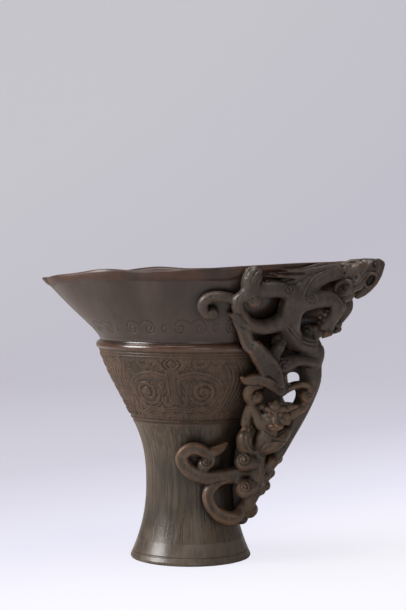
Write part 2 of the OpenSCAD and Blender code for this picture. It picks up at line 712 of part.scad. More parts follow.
module member(name, side) {
    if (name == "rim_dragon_body") color(HORN) difference() {
        body_form(side);
        cup_core();
        stem_form();
        other_half(side);
    }
    if (name == "rim_dragon_head") color(HORN_PALE) difference() {
        head_form(side);
        cup_core();
        body_form(side);
        other_half(side);
    }
    if (name == "rim_dragon_mane") color(HORN_RED) difference() {
        mane_form(side);
        cup_core();
        body_form(side);
        head_form(side);
    }
    if (name == "rim_dragon_foreleg") color(HORN) difference() {
        foreleg_form(side);
        cup_core();
        body_form(side);
        mane_form(side);
    }
    if (name == "rim_dragon_hindleg") color(HORN) difference() {
        hindleg_form(side);
        cup_core();
        body_form(side);
        head_form(side);
        foreleg_form(side);
    }
    if (name == "rim_dragon_tail") color(HORN) difference() {
        tail_form(side);
        cup_core();
        body_form(side);
        foreleg_form(side);
    }
    if (name == "tail_hook") color(HORN) difference() {
        hook_form(side);
        cup_core();
        foreleg_form(side);
        tail_form(side);
    }
    if (name == "prop_leg") color(HORN_PALE) difference() {
        prop_form(side);
        cup_core();
        stem_form();
        body_form(side);
        tail_form(side);
        other_half(side);
    }
    if (name == "climber_head") color(HORN_PALE) difference() {
        face_form(side);
        cup_core();
        climber_form(side);
    }
    if (name == "climber_mane") color(HORN_PALE) difference() {
        lock_form(side);
        cup_core();
        stem_form();
        prop_form(side);
        face_form(side);
    }
    if (name == "climber_body") color(HORN) difference() {
        climber_form(side);
        cup_core();
        stem_form();
        other_half(side);
    }
    if (name == "climber_arms") color(HORN_PALE) difference() {
        arms_form(side);
        cup_core();
        stem_form();
        climber_form(side);
        face_form(side);
        lock_form(side);
        other_half(side);
    }
    if (name == "climber_tail") color(HORN) difference() {
        climber_tail_form(side);
        cup_core();
        climber_form(side);
    }
    if (name == "ring_scroll") color(HORN) difference() {
        ring_scroll_form(side);
        cup_core();
        stem_form();
        climber_form(side);
        climber_tail_form(side);
    }
    if (name == "root_knobs") color(HORN_PALE) difference() {
        knobs_form(side);
        cup_core();
        stem_form();
        climber_form(side);
        climber_tail_form(side);
        ring_scroll_form(side);
    }
}

foot();
waist();
mask_band();
ledge_ring();
mouth_bowl();
handle_stem();
handle_web();
cloud_knobs();
for (side_name = SIDE_NAMES) for (name = MEMBERS)
    member(name, side_sign(side_name));
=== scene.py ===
"""Horn libation cup: the carved looks of the cup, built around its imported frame.

Lengths are millimetres, until a mesh is made in metres. A row of the handle's tables is a place on
the cup: degrees from the middle plane, share of the cup's height, share of the handle's reach out
from the wall, and share of the member's thickness. Rows of heads and faces are offsets outwards,
across and upwards and a thickness, as shares of the head's size.
"""

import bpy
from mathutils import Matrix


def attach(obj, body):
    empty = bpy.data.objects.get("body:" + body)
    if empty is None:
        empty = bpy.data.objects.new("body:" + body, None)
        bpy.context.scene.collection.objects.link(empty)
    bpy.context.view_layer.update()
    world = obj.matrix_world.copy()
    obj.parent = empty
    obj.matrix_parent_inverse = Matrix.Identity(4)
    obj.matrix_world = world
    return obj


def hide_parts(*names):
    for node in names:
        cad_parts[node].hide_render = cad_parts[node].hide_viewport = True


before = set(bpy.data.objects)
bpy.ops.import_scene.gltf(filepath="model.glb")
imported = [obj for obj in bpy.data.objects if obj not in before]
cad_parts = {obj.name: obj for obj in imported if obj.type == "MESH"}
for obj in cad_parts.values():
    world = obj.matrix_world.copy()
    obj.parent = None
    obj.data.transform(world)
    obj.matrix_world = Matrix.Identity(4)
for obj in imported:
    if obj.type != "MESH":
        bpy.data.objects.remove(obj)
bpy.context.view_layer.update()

import logging
import math
from dataclasses import dataclass
from enum import Enum
from typing import Optional, Sequence

import bpy
import numpy as np
import openvdb
from mathutils import Vector

LOG = logging.getLogger("horn_cup")
MM = 0.001
BODY = "root"

Row = Sequence[float]
Colour = tuple[float, float, float]


class Side(Enum):
    """Side of the cup that a member lies on: the sign of its angle."""

    NEAR = -1
    FAR = 1


def linear(red: float, green: float, blue: float) -> Colour:
    """Turns a colour written as 0 to 255 into the linear values that a shader takes.

    Args:
        red, green, blue: the colour as it is seen on a screen.

    Returns:
        The linear colour.
    """
    parts = []
    for value in (red, green, blue):
        share = value / 255
        parts.append(share / 12.92 if share <= 0.04045 else ((share + 0.055) / 1.055) ** 2.4)
    return parts[0], parts[1], parts[2]


def smoothstep(low: float, high: float, value: np.ndarray) -> np.ndarray:
    """Rises smoothly from 0 at low to 1 at high."""
    t = np.clip((value - low) / (high - low), 0, 1)
    return t * t * (3 - 2 * t)


@dataclass
class CupWall:
    """Outer and inner wall of the cup: the sizes of the solids, with the spout turned a little."""

    cup_h: float = 130.0
    rim_drop: float = 7.4
    mouth_half_l: float = 66.5
    mouth_half_w: float = 50.0
    mouth_low_r: float = 39.2
    mouth_wall: float = 4.6
    lip_h: float = 3.0
    lip_out: float = 0.8
    petal_depth: float = 0.8
    petals: int = 12
    spout_cut: float = 2.6
    spout_turn: float = 4.2
    spout_at: float = 195.0
    mouth_curve: float = 5.0
    mouth_steep_share: float = 0.8
    ledge_z: float = 95.0
    ledge_h: float = 1.6
    ledge_r: float = 41.3
    band_z: float = 60.3
    band_low_r: float = 25.3
    band_top_r: float = 40.8
    band_swell: float = 1.1
    swell_curve: float = 1.6
    band_wall: float = 5.0
    waist_z: float = 32.0
    waist_r: float = 19.6
    waist_curve: float = 2.6
    well_z: float = 45.0
    foot_h: float = 9.0
    foot_r: float = 27.0
    foot_curve: float = 2.1
    foot_round: float = 1.5
    reach: float = 46.0

    def spout(self, a: np.ndarray) -> np.ndarray:
        """Share of the spout's cut in a direction, in degrees."""
        return np.exp(-((((a % 360) - self.spout_at) / self.spout_turn) ** 2))

    def rim_z(self, a: np.ndarray) -> np.ndarray:
        """Height of the rim in a direction, in degrees."""
        drop = self.rim_drop * (1 - np.cos(np.radians(a))) / 2
        return self.cup_h - drop - self.spout_cut * 0.4 * self.spout(a)

    def rim_r(self, a: np.ndarray) -> np.ndarray:
        """Radius of the rim in a direction, with its petals and spout."""
        t = np.radians(a)
        oval = self.mouth_half_l * self.mouth_half_w / np.hypot(
            self.mouth_half_w * np.cos(t), self.mouth_half_l * np.sin(t)
        )
        return oval + self.petal_depth * (np.cos(self.petals * t) - 1) / 2 - self.spout_cut * self.spout(a)

    def waist_wall_r(self, z: np.ndarray) -> np.ndarray:
        """Radius of the stem of the cup below the band."""
        low = np.clip(1 - z / self.waist_z, 0, None) ** self.foot_curve
        high = np.clip((z - self.waist_z) / (self.band_z - self.waist_z), 0, None) ** self.waist_curve
        return self.waist_r + (self.foot_r - self.waist_r) * low + (self.band_low_r - self.waist_r) * high

    def band_wall_r(self, z: np.ndarray) -> np.ndarray:
        """Radius of the band."""
        t = np.clip((z - self.band_z) / (self.ledge_z - self.ledge_h - self.band_z), 0, 1)
        swell = self.band_swell * np.sin(np.pi * t**self.swell_curve)
        return self.band_low_r + (self.band_top_r - self.band_low_r) * t + swell

    def mouth_at(self, rim_r: np.ndarray, t: np.ndarray) -> np.ndarray:
        """Radius of the mouth at a share of the way up to a rim of a given radius."""
        flare = t * (1 - self.mouth_steep_share * np.clip(1 - t, 0, None) ** self.mouth_curve)
        return self.mouth_low_r + (rim_r - self.mouth_low_r) * flare

    def wall_r(self, a: np.ndarray, z: np.ndarray) -> np.ndarray:
        """Radius of the cup's wall in a direction and at a height."""
        rim_z = self.rim_z(a)
        t = (np.minimum(z, rim_z) - self.ledge_z) / (rim_z - self.ledge_z)
        mouth = self.mouth_at(self.rim_r(a), t)
        out = np.where(z < self.ledge_z, self.ledge_r, mouth)
        out = np.where(z < self.ledge_z - self.ledge_h, self.band_wall_r(z), out)
        return np.where(z < self.band_z, self.waist_wall_r(np.maximum(z, 0)), out)

    def inside_r(self, z: np.ndarray) -> np.ndarray:
        """Radius of the inside below the mouth."""
        low_r = self.band_low_r - self.band_wall
        top_r = self.mouth_low_r - self.mouth_wall
        well = np.clip(1 - ((self.band_z - z) / (self.band_z - self.well_z)) ** 2, 0, None)
        rise = low_r + (top_r - low_r) * (z - self.band_z) / (self.ledge_z - self.band_z)
        return np.where(z < self.band_z, low_r * np.sqrt(well), rise)

    def place(self, rows: np.ndarray, side: Side) -> np.ndarray:
        """Places of rows of degrees, share of height and share of reach.

        Args:
            rows: one row a place, with its thickness share last.
            side: the side of the cup.

        Returns:
            One point a row, in millimetres.
        """
        a = rows[:, 0] * side.value
        z = rows[:, 1] * self.cup_h
        r = self.wall_r(a, z) + rows[:, 2] * self.reach
        t = np.radians(a)
        return np.stack([r * np.cos(t), r * np.sin(t), z], axis=1)


WALL = CupWall()


def smooth_rows(rows: np.ndarray, steps: int) -> np.ndarray:
    """Smooth curve through rows, with some steps between each two."""
    count = len(rows)
    out = []
    t = (np.arange(steps) / steps)[:, None]
    for i in range(count - 1):
        p, q, r, s = rows[max(i - 1, 0)], rows[i], rows[i + 1], rows[min(i + 2, count - 1)]
        out.append(
            q + (r - p) * t / 2
            + (2 * p - 5 * q + 4 * r - s) * t * t / 2
            + (3 * q - p - 3 * r + s) * t * t * t / 2
        )
    out.append(rows[-1:])
    return np.concatenate(out)


def curl(turns: float, start: float, inner_share: float, count: int = 22) -> np.ndarray:
    """Flat spiral of outer radius 1 that winds inwards.

    Args:
        turns: number of turns, negative to wind clockwise.
        start: angle of the outer end, in degrees.
        inner_share: radius of the inner end, as a share of the outer one.
        count: number of points.

    Returns:
        Points across and up.
    """
    t = np.linspace(0, 1, count)
    a = math.radians(start) + 2 * math.pi * turns * t
    r = 1 - (1 - inner_share) * t
    return np.stack([r * np.cos(a), r * np.sin(a)], axis=1)


def angles(steps: int, first: float = -180.0) -> np.ndarray:
    """Directions all round from a first one on, in degrees."""
    return np.arange(steps) * 360 / steps + first


# Meshes


def mesh_object(
    name: str, points: np.ndarray, faces: np.ndarray, crease_deg: float, layers: Optional[dict] = None
) -> bpy.types.Object:
    """Makes an object at the origin from points in millimetres.

    Args:
        name: name of the piece.
        points: one row a vertex.
        faces: one row a face, all with three or all with four corners.
        crease_deg: angle above which an edge stays sharp.
        layers: a value for each vertex under the name of each layer.

    Returns:
        The new object, linked to the scene.
    """
    mesh = bpy.data.meshes.new(name)
    count, corners = faces.shape
    mesh.vertices.add(len(points))
    mesh.vertices.foreach_set("co", (points * MM).astype(np.float32).ravel())
    mesh.loops.add(count * corners)
    mesh.loops.foreach_set("vertex_index", faces.astype(np.int32).ravel())
    mesh.polygons.add(count)
    mesh.polygons.foreach_set("loop_start", np.arange(0, count * corners, corners, dtype=np.int32))
    mesh.update(calc_edges=True)
    mesh.validate()
    mesh.shade_smooth()
    mesh.set_sharp_from_angle(angle=math.radians(crease_deg))
    for layer, values in (layers or {}).items():
        data = mesh.attributes.new(layer, "FLOAT", "POINT")
        data.data.foreach_set("value", values.astype(np.float32))
    piece = bpy.data.objects.new(name, mesh)
    bpy.context.scene.collection.objects.link(piece)
    return piece


def ring_faces(rings: int, steps: int, closed: bool) -> np.ndarray:
    """Four-cornered faces between rings of points, with the last ring joined to the first or not."""
    i = np.arange(rings if closed else rings - 1)[:, None]
    j = np.arange(steps)[None, :]
    k = (j + 1) % steps
    low = i * steps
    high = (i + 1) % rings * steps
    return np.stack([low + j, low + k, high + k, high + j], axis=2).reshape(-1, 4)


def from_segment(x: np.ndarray, y: np.ndarray, a: np.ndarray, b: np.ndarray) -> np.ndarray:
    """Distance of a plane grid's points from the straight line between two points."""
    run = b - a
    t = np.clip(((x - a[0]) * run[0] + (y - a[1]) * run[1]) / max(run @ run, 1e-9), 0, 1)
    return np.hypot(x - a[0] - t * run[0], y - a[1] - t * run[1])


class Strokes:
    """Relief of strokes on a grid of places across and up a wall, in millimetres."""

    def __init__(self, across: np.ndarray, up: np.ndarray) -> None:
        """Keeps the grid: one value a column, and one a row."""
        self.across = across
        self.up = up
        self.raised = np.zeros((len(up), len(across)), np.float32)
        self.cut = np.zeros_like(self.raised)

    def draw(self, points: np.ndarray, width: float, height: float, soft_share: float = 0.5) -> None:
        """Lays a stroke: raised where its height is positive, and cut where it is negative.

        Args:
            points: the stroke's line, across and up.
            width: half of its width.
            height: how far it stands out.
            soft_share: share of the half width over which its edge falls.
        """
        points = np.asarray(points, float)
        low, high = points.min(0) - width, points.max(0) + width
        cols = slice(*np.searchsorted(self.across, [low[0], high[0]]))
        rows = slice(*np.searchsorted(self.up, [low[1], high[1]]))
        x = self.across[None, cols]
        y = self.up[rows, None]
        if x.size == 0 or y.size == 0:
            return
        near = np.full((y.shape[0], x.shape[1]), np.inf)
        for a, b in zip(points[:-1], points[1:]):
            near = np.minimum(near, from_segment(x, y, a, b))
        relief = abs(height) * (1 - smoothstep(width * (1 - soft_share), width, near))
        target = self.raised if height > 0 else self.cut
        target[rows, cols] = np.maximum(target[rows, cols], relief)

    def relief(self) -> np.ndarray:
        """Height of the whole drawing over the wall."""
        return self.raised - self.cut


def grid_wear_and_shade(relief: np.ndarray) -> tuple[np.ndarray, np.ndarray]:
    """Worn places, and hollow places that take painted shade and dirt, of a relief that closes on itself
    across.

    Args:
        relief: height over the wall, one row a ring.

    Returns:
        Worn and hollow shares, from 0 to 1.
    """
    spread = relief.copy()
    for _ in range(3):
        spread = (np.roll(spread, 2, 1) + np.roll(spread, -2, 1) + spread) / 3
        padded = np.pad(spread, ((2, 2), (0, 0)), mode="edge")
        spread = (padded[4:] + padded[2:-2] + padded[:-4]) / 3
    full_step = 0.16
    edge = (relief - spread) / full_step
    return np.clip(edge, 0, 1), np.clip(-edge, 0, 1)


# Finishes


@dataclass(frozen=True)
class HornFinish:
    """Finish of one part of the horn; its hollow colour is painted shade, with some dirt, laid into the
    hollows.
    """

    name: str
    deep: Colour
    pale: Colour
    worn: Colour
    hollow: Colour
    roughness: float = 0.36
    fibre_scale: float = 260.0
    fibre_stretch: float = 0.06
    fibre_height: float = 0.05
    worn_amount: float = 0.75
    hollow_amount: float = 0.85
    coat: float = 0.25
    ground: float = 0.0


FLOAT, INTEGER = "NodeSocketFloat", "NodeSocketInt"
COLOUR, GEOMETRY = "NodeSocketColor", "NodeSocketGeometry"


def new_group(
    name: str, kind: str, inputs: dict[str, str], outputs: dict[str, str]
) -> bpy.types.NodeTree:
    """Makes a node group with named sockets.

    Args:
        name: name of the group.
        kind: type of the group.
        inputs: type of each input, under its name.
        outputs: type of each output, under its name.

    Returns:
        The group, which holds no nodes yet.
    """
    group = bpy.data.node_groups.new(name, kind)
    for way, sockets in (("INPUT", inputs), ("OUTPUT", outputs)):
        for label, socket_type in sockets.items():
            group.interface.new_socket(name=label, in_out=way, socket_type=socket_type)
    return group


def feed(tree: bpy.types.NodeTree, node: bpy.types.Node, given: dict) -> None:
    """Sets or links inputs of a node.

    Args:
        tree: the tree that the node is in.
        node: the node.
        given: a value, or another node's socket, under the name or the place of each input.
    """
    for place, value in given.items():
        if isinstance(value, bpy.types.NodeSocket):
            tree.links.new(value, node.inputs[place])
        else:
            node.inputs[place].default_value = value


def add_node(
    tree: bpy.types.NodeTree, kind: str, given: Optional[dict] = None, **settings: object
) -> bpy.types.Node:
    """Adds a node to a tree.

    Args:
        tree: the tree.
        kind: type of the node.
        given: its inputs, as feed takes them.
        settings: its own settings.

    Returns:
        The node.
    """
    node = tree.nodes.new(kind)
    for name, value in settings.items():
        setattr(node, name, value)
    feed(tree, node, given or {})
    return node


def maths(
    tree: bpy.types.NodeTree, operation: str, *values: object, **settings: object
) -> bpy.types.NodeSocket:
    """Adds a sum of sockets or numbers to a tree, and gives the socket of its result."""
    given = dict(enumerate(values))
    return add_node(tree, "ShaderNodeMath", given, operation=operation, **settings).outputs[0]


def mix_colour(
    tree: bpy.types.NodeTree, share: bpy.types.NodeSocket, first: bpy.types.NodeSocket,
    second: bpy.types.NodeSocket,
) -> bpy.types.NodeSocket:
    """Adds a mix of two colours to a tree, and gives the socket of its result."""
    first_place, second_place, result_place = 6, 7, 2
    given = {"Factor": share, first_place: first, second_place: second}
    return add_node(tree, "ShaderNodeMix", given, data_type="RGBA").outputs[result_place]


def fibre_group() -> bpy.types.NodeTree:
    """Node group of the horn's fibres: their colour, their height and how rough they are."""
    group = new_group(
        "HornFibres", "ShaderNodeTree",
        {"Deep": COLOUR, "Pale": COLOUR, "Scale": FLOAT, "Stretch": FLOAT, "Ground": FLOAT},
        {"Colour": COLOUR, "Height": FLOAT, "Rough": FLOAT},
    )
    given = add_node(group, "NodeGroupInput").outputs
    place = add_node(group, "ShaderNodeTexCoord").outputs["Object"]
    split = add_node(group, "ShaderNodeSeparateXYZ", {0: place}).outputs
    low = maths(group, "MULTIPLY", split["Z"], given["Stretch"])
    join = add_node(group, "ShaderNodeCombineXYZ", {"X": split["X"], "Y": split["Y"], "Z": low})
    fibres = add_node(group, "ShaderNodeTexNoise", {
        "Scale": given["Scale"], "Detail": 6.0, "Roughness": 0.62, "Vector": join.outputs[0],
    }).outputs["Fac"]
    clouds = add_node(group, "ShaderNodeTexNoise", {
        "Scale": 34.0, "Detail": 3.0, "Vector": place,
    }).outputs["Fac"]
    weight = 0.55
    both = maths(group, "MULTIPLY_ADD", clouds, weight, maths(group, "MULTIPLY", fibres, weight))
    spread = add_node(group, "ShaderNodeMapRange", {
        "From Min": 0.40, "From Max": 0.70, "Value": both,
    }, interpolation_type="SMOOTHSTEP")
    cells = add_node(
        group, "ShaderNodeTexVoronoi", {"Scale": 720.0, "Vector": place}, feature="DISTANCE_TO_EDGE"
    )
    add_node(group, "NodeGroupOutput", {
        "Colour": mix_colour(group, spread.outputs["Result"], given["Deep"], given["Pale"]),
        "Height": maths(group, "MULTIPLY_ADD", cells.outputs["Distance"], given["Ground"], fibres),
        "Rough": clouds,
    })
    return group


def wear_and_shade_group() -> bpy.types.NodeTree:
    """Node group that browns the worn edges and darkens the hollows of the carving with painted shade and
    some dirt.
    """
    group = new_group(
        "CarvedWearAndShade", "ShaderNodeTree",
        {
            "Colour": COLOUR, "Worn Colour": COLOUR, "Hollow Colour": COLOUR, "Worn Amount": FLOAT,
            "Hollow Amount": FLOAT,
        },
        {"Colour": COLOUR},
    )
    given = add_node(group, "NodeGroupInput").outputs
    worn, hollow = (
        add_node(group, "ShaderNodeAttribute", attribute_name=layer).outputs["Fac"]
        for layer in ("worn", "hollow")
    )
    place = add_node(group, "ShaderNodeTexCoord").outputs["Object"]
    patches = add_node(group, "ShaderNodeTexNoise", {"Scale": 85.0, "Detail": 2.0, "Vector": place})
    uneven = add_node(group, "ShaderNodeMapRange", {
        "From Min": 0.35, "From Max": 0.65, "Value": patches.outputs["Fac"],
    })
    patchy = maths(group, "MULTIPLY", worn, uneven.outputs["Result"])
    colour = given["Colour"]
    # The hollow mask lays painted shade, with some dirt, over the colour; the worn mask browns the rubbed
    # edges.
    for mask, kind in ((patchy, "Worn"), (hollow, "Hollow")):
        share = maths(group, "MULTIPLY", mask, given[f"{kind} Amount"], use_clamp=True)
        colour = mix_colour(group, share, colour, given[f"{kind} Colour"])
    add_node(group, "NodeGroupOutput", {"Colour": colour})
    return group


class HornShop:
    """Makes the horn's materials, each from the same two node groups."""

    def __init__(self) -> None:
        """Builds the shared node groups once."""
        self.fibres = fibre_group()
        self.wear_and_shade = wear_and_shade_group()
        self.made: dict[str, bpy.types.Material] = {}

    def material(self, finish: HornFinish) -> bpy.types.Material:
        """Material of a finish, made the first time that it is asked for.

        Args:
            finish: the finish's colours and amounts.

        Returns:
            The material.
        """
        if finish.name in self.made:
            return self.made[finish.name]
        stuff = bpy.data.materials.new(finish.name)
        stuff.use_nodes = True
        tree = stuff.node_tree
        fibres = add_node(tree, "ShaderNodeGroup", {
            "Deep": (*finish.deep, 1), "Pale": (*finish.pale, 1), "Scale": finish.fibre_scale,
            "Stretch": finish.fibre_stretch, "Ground": finish.ground,
        }, node_tree=self.fibres).outputs
        # The hollow colour that goes in here is painted shade, with some dirt.
        wear_and_shade = add_node(tree, "ShaderNodeGroup", {
            "Colour": fibres["Colour"], "Worn Colour": (*finish.worn, 1),
            "Hollow Colour": (*finish.hollow, 1), "Worn Amount": finish.worn_amount,
            "Hollow Amount": finish.hollow_amount,
        }, node_tree=self.wear_and_shade)
        rough = add_node(tree, "ShaderNodeMapRange", {
            "From Min": 0.3, "From Max": 0.7, "To Min": finish.roughness - 0.07,
            "To Max": finish.roughness + 0.09, "Value": fibres["Rough"],
        })
        bump = add_node(tree, "ShaderNodeBump", {
            "Strength": 1.0, "Distance": finish.fibre_height * MM, "Height": fibres["Height"],
        })
        feed(tree, tree.nodes["Principled BSDF"], {
            "Base Color": wear_and_shade.outputs["Colour"], "Roughness": rough.outputs["Result"],
            "Normal": bump.outputs["Normal"], "IOR": 1.54, "Coat Weight": finish.coat,
            "Coat Roughness": 0.16,
        })
        self.made[finish.name] = stuff
        return stuff


WORN_BROWN = linear(132, 84, 54)
# Hollow colours, this one and those in the finishes below, are painted shade with some dirt: they darken the
# carving's hollows, the cove over the ledge and the cup's wall beside and behind the members.
HOLLOW_SHADE_AND_DIRT = linear(26, 21, 17)
BOWL_HORN = HornFinish(
    "bowl_horn", linear(58, 47, 42), linear(75, 61, 55), WORN_BROWN, HOLLOW_SHADE_AND_DIRT,
    roughness=0.30, fibre_height=0.02, fibre_scale=180.0,
)
LIP_HORN = HornFinish(
    "lip_horn", linear(37, 25, 19), linear(64, 44, 35), WORN_BROWN, HOLLOW_SHADE_AND_DIRT,
    roughness=0.46, fibre_height=0.02, fibre_scale=180.0,
)
BAND_HORN = HornFinish(
    "band_horn", linear(66, 51, 40), linear(102, 79, 62), linear(112, 81, 60), linear(30, 23, 17),
    roughness=0.48, fibre_height=0.09, fibre_stretch=0.3, ground=2.8, coat=0.1,
)
LEDGE_HORN = HornFinish(
    "ledge_horn", linear(60, 41, 31), linear(90, 64, 49), WORN_BROWN, HOLLOW_SHADE_AND_DIRT,
    roughness=0.22, fibre_height=0.02, coat=0.7,
)
WAIST_HORN = HornFinish(
    "waist_horn", linear(50, 43, 35), linear(100, 85, 68), WORN_BROWN, linear(24, 19, 15),
    roughness=0.44, fibre_height=0.26, fibre_scale=640.0, fibre_stretch=0.05,
)
FOOT_HORN = HornFinish(
    "foot_horn", linear(77, 67, 58), linear(113, 101, 87), WORN_BROWN, HOLLOW_SHADE_AND_DIRT,
    roughness=0.34, fibre_height=0.05, fibre_scale=320.0, fibre_stretch=0.05,
)
DRAGON_HORN = HornFinish(
    "dragon_horn", linear(60, 52, 47), linear(93, 82, 74), linear(122, 82, 56), linear(20, 17, 13),
    roughness=0.42, fibre_height=0.13, fibre_scale=340.0, fibre_stretch=0.35, worn_amount=0.6, coat=0.15,
)
CLIMBER_HORN = HornFinish(
    "climber_horn", linear(70, 58, 48), linear(113, 94, 76), linear(136, 88, 54), linear(20, 16, 12),
    roughness=0.42, fibre_height=0.14, fibre_scale=340.0, fibre_stretch=0.35, worn_amount=0.9, coat=0.15,
)


# The cup: the mask's strokes, in millimetres from its middle and for its right half


MASK_Z = 77.2
MASK_RIBBONS = (
    ([(1.0, 3.4), (6.5, 5.6), (12.5, 5.2), (18.0, 2.2), (20.4, -2.6)], 1.15, 0.40),
    ([(1.2, -6.6), (3.9, -8.1), (5.3, -5.9), (4.0, -4.8)], 0.75, 0.40),
    ([(0, -9.6), (6.5, -10.2), (13.0, -9.6), (18.6, -11.6), (21.6, -8.8)], 0.9, 0.38),
    ([(3.4, 8.2), (5.4, 10.9), (6.3, 11.8)], 0.7, 0.34),
    ([(17.6, 9.6), (20.6, 12.2), (25.6, 12.0), (29.6, 9.4), (31.6, 4.0)], 0.62, 0.32),
)
MASK_STROKES = (
    ([(2.2, 2.0), (7.0, 3.8), (12.2, 3.6), (16.8, 1.2), (18.6, -2.4)], 0.3, 0.22),
    ([(0.6, 6.8), (0.9, 0.6), (0.6, -5.6)], 2.3, 0.34, 0.35),
    ([(1.6, 5.6), (1.3, 0.6), (1.9, -4.6)], 0.28, -0.24),
    ([(0.2, 4.9), (4.2, 5.0)], 1.0, 0.38),
    ([(0, 14.2), (3.4, 10.2), (1.4, 7.4)], 0.4, -0.28),
    ([(0, 12.4), (1.8, 10.2), (0.6, 8.4)], 0.3, -0.24),
    ([(2.0, 0.4), (6.0, -6.6), (9.6, -9.0)], 0.4, -0.16),
    ([(3.2, 1.6), (7.4, -6.2)], 0.3, -0.14),
)
MASK_JAW = (10.2, 11.2, 4.0, -1.5, 200, 0.25)
MASK_EYE = (
    (12.2, -2.2, 5.6, 1.75, 205, 0.24, 0.78, 0.34, 0.35), (12.2, -2.2, 7.1, 0.72, 150, 0.96, 0.42, 0.24, 0.5),
    (12.2, -2.2, 1.3, 1.0, 0, 0.4, 0.8, 0.48, 0.5),
)
MASK_CURLS = (
    (22.8, -12.6, 2.4, 1, 100), (3.6, -13.2, 2.0, -1, 120), (9.9, -13.2, 2.0, 1, 60),
    (16.4, -14.0, 1.7, -1, 120), (28.6, -12.8, 2.0, -1, 60), (16.4, 12.8, 2.3, 1, 160),
    (16.8, -6.6, 1.6, -1, 20), (33.4, 8.4, 2.2, 1, 160), (33.2, -7.0, 2.2, -1, 200),
    (33.8, 1.0, 2.0, 1, 200), (23.0, 14.6, 1.5, -1, 120), (5.6, 14.6, 1.5, 1, 60),
)


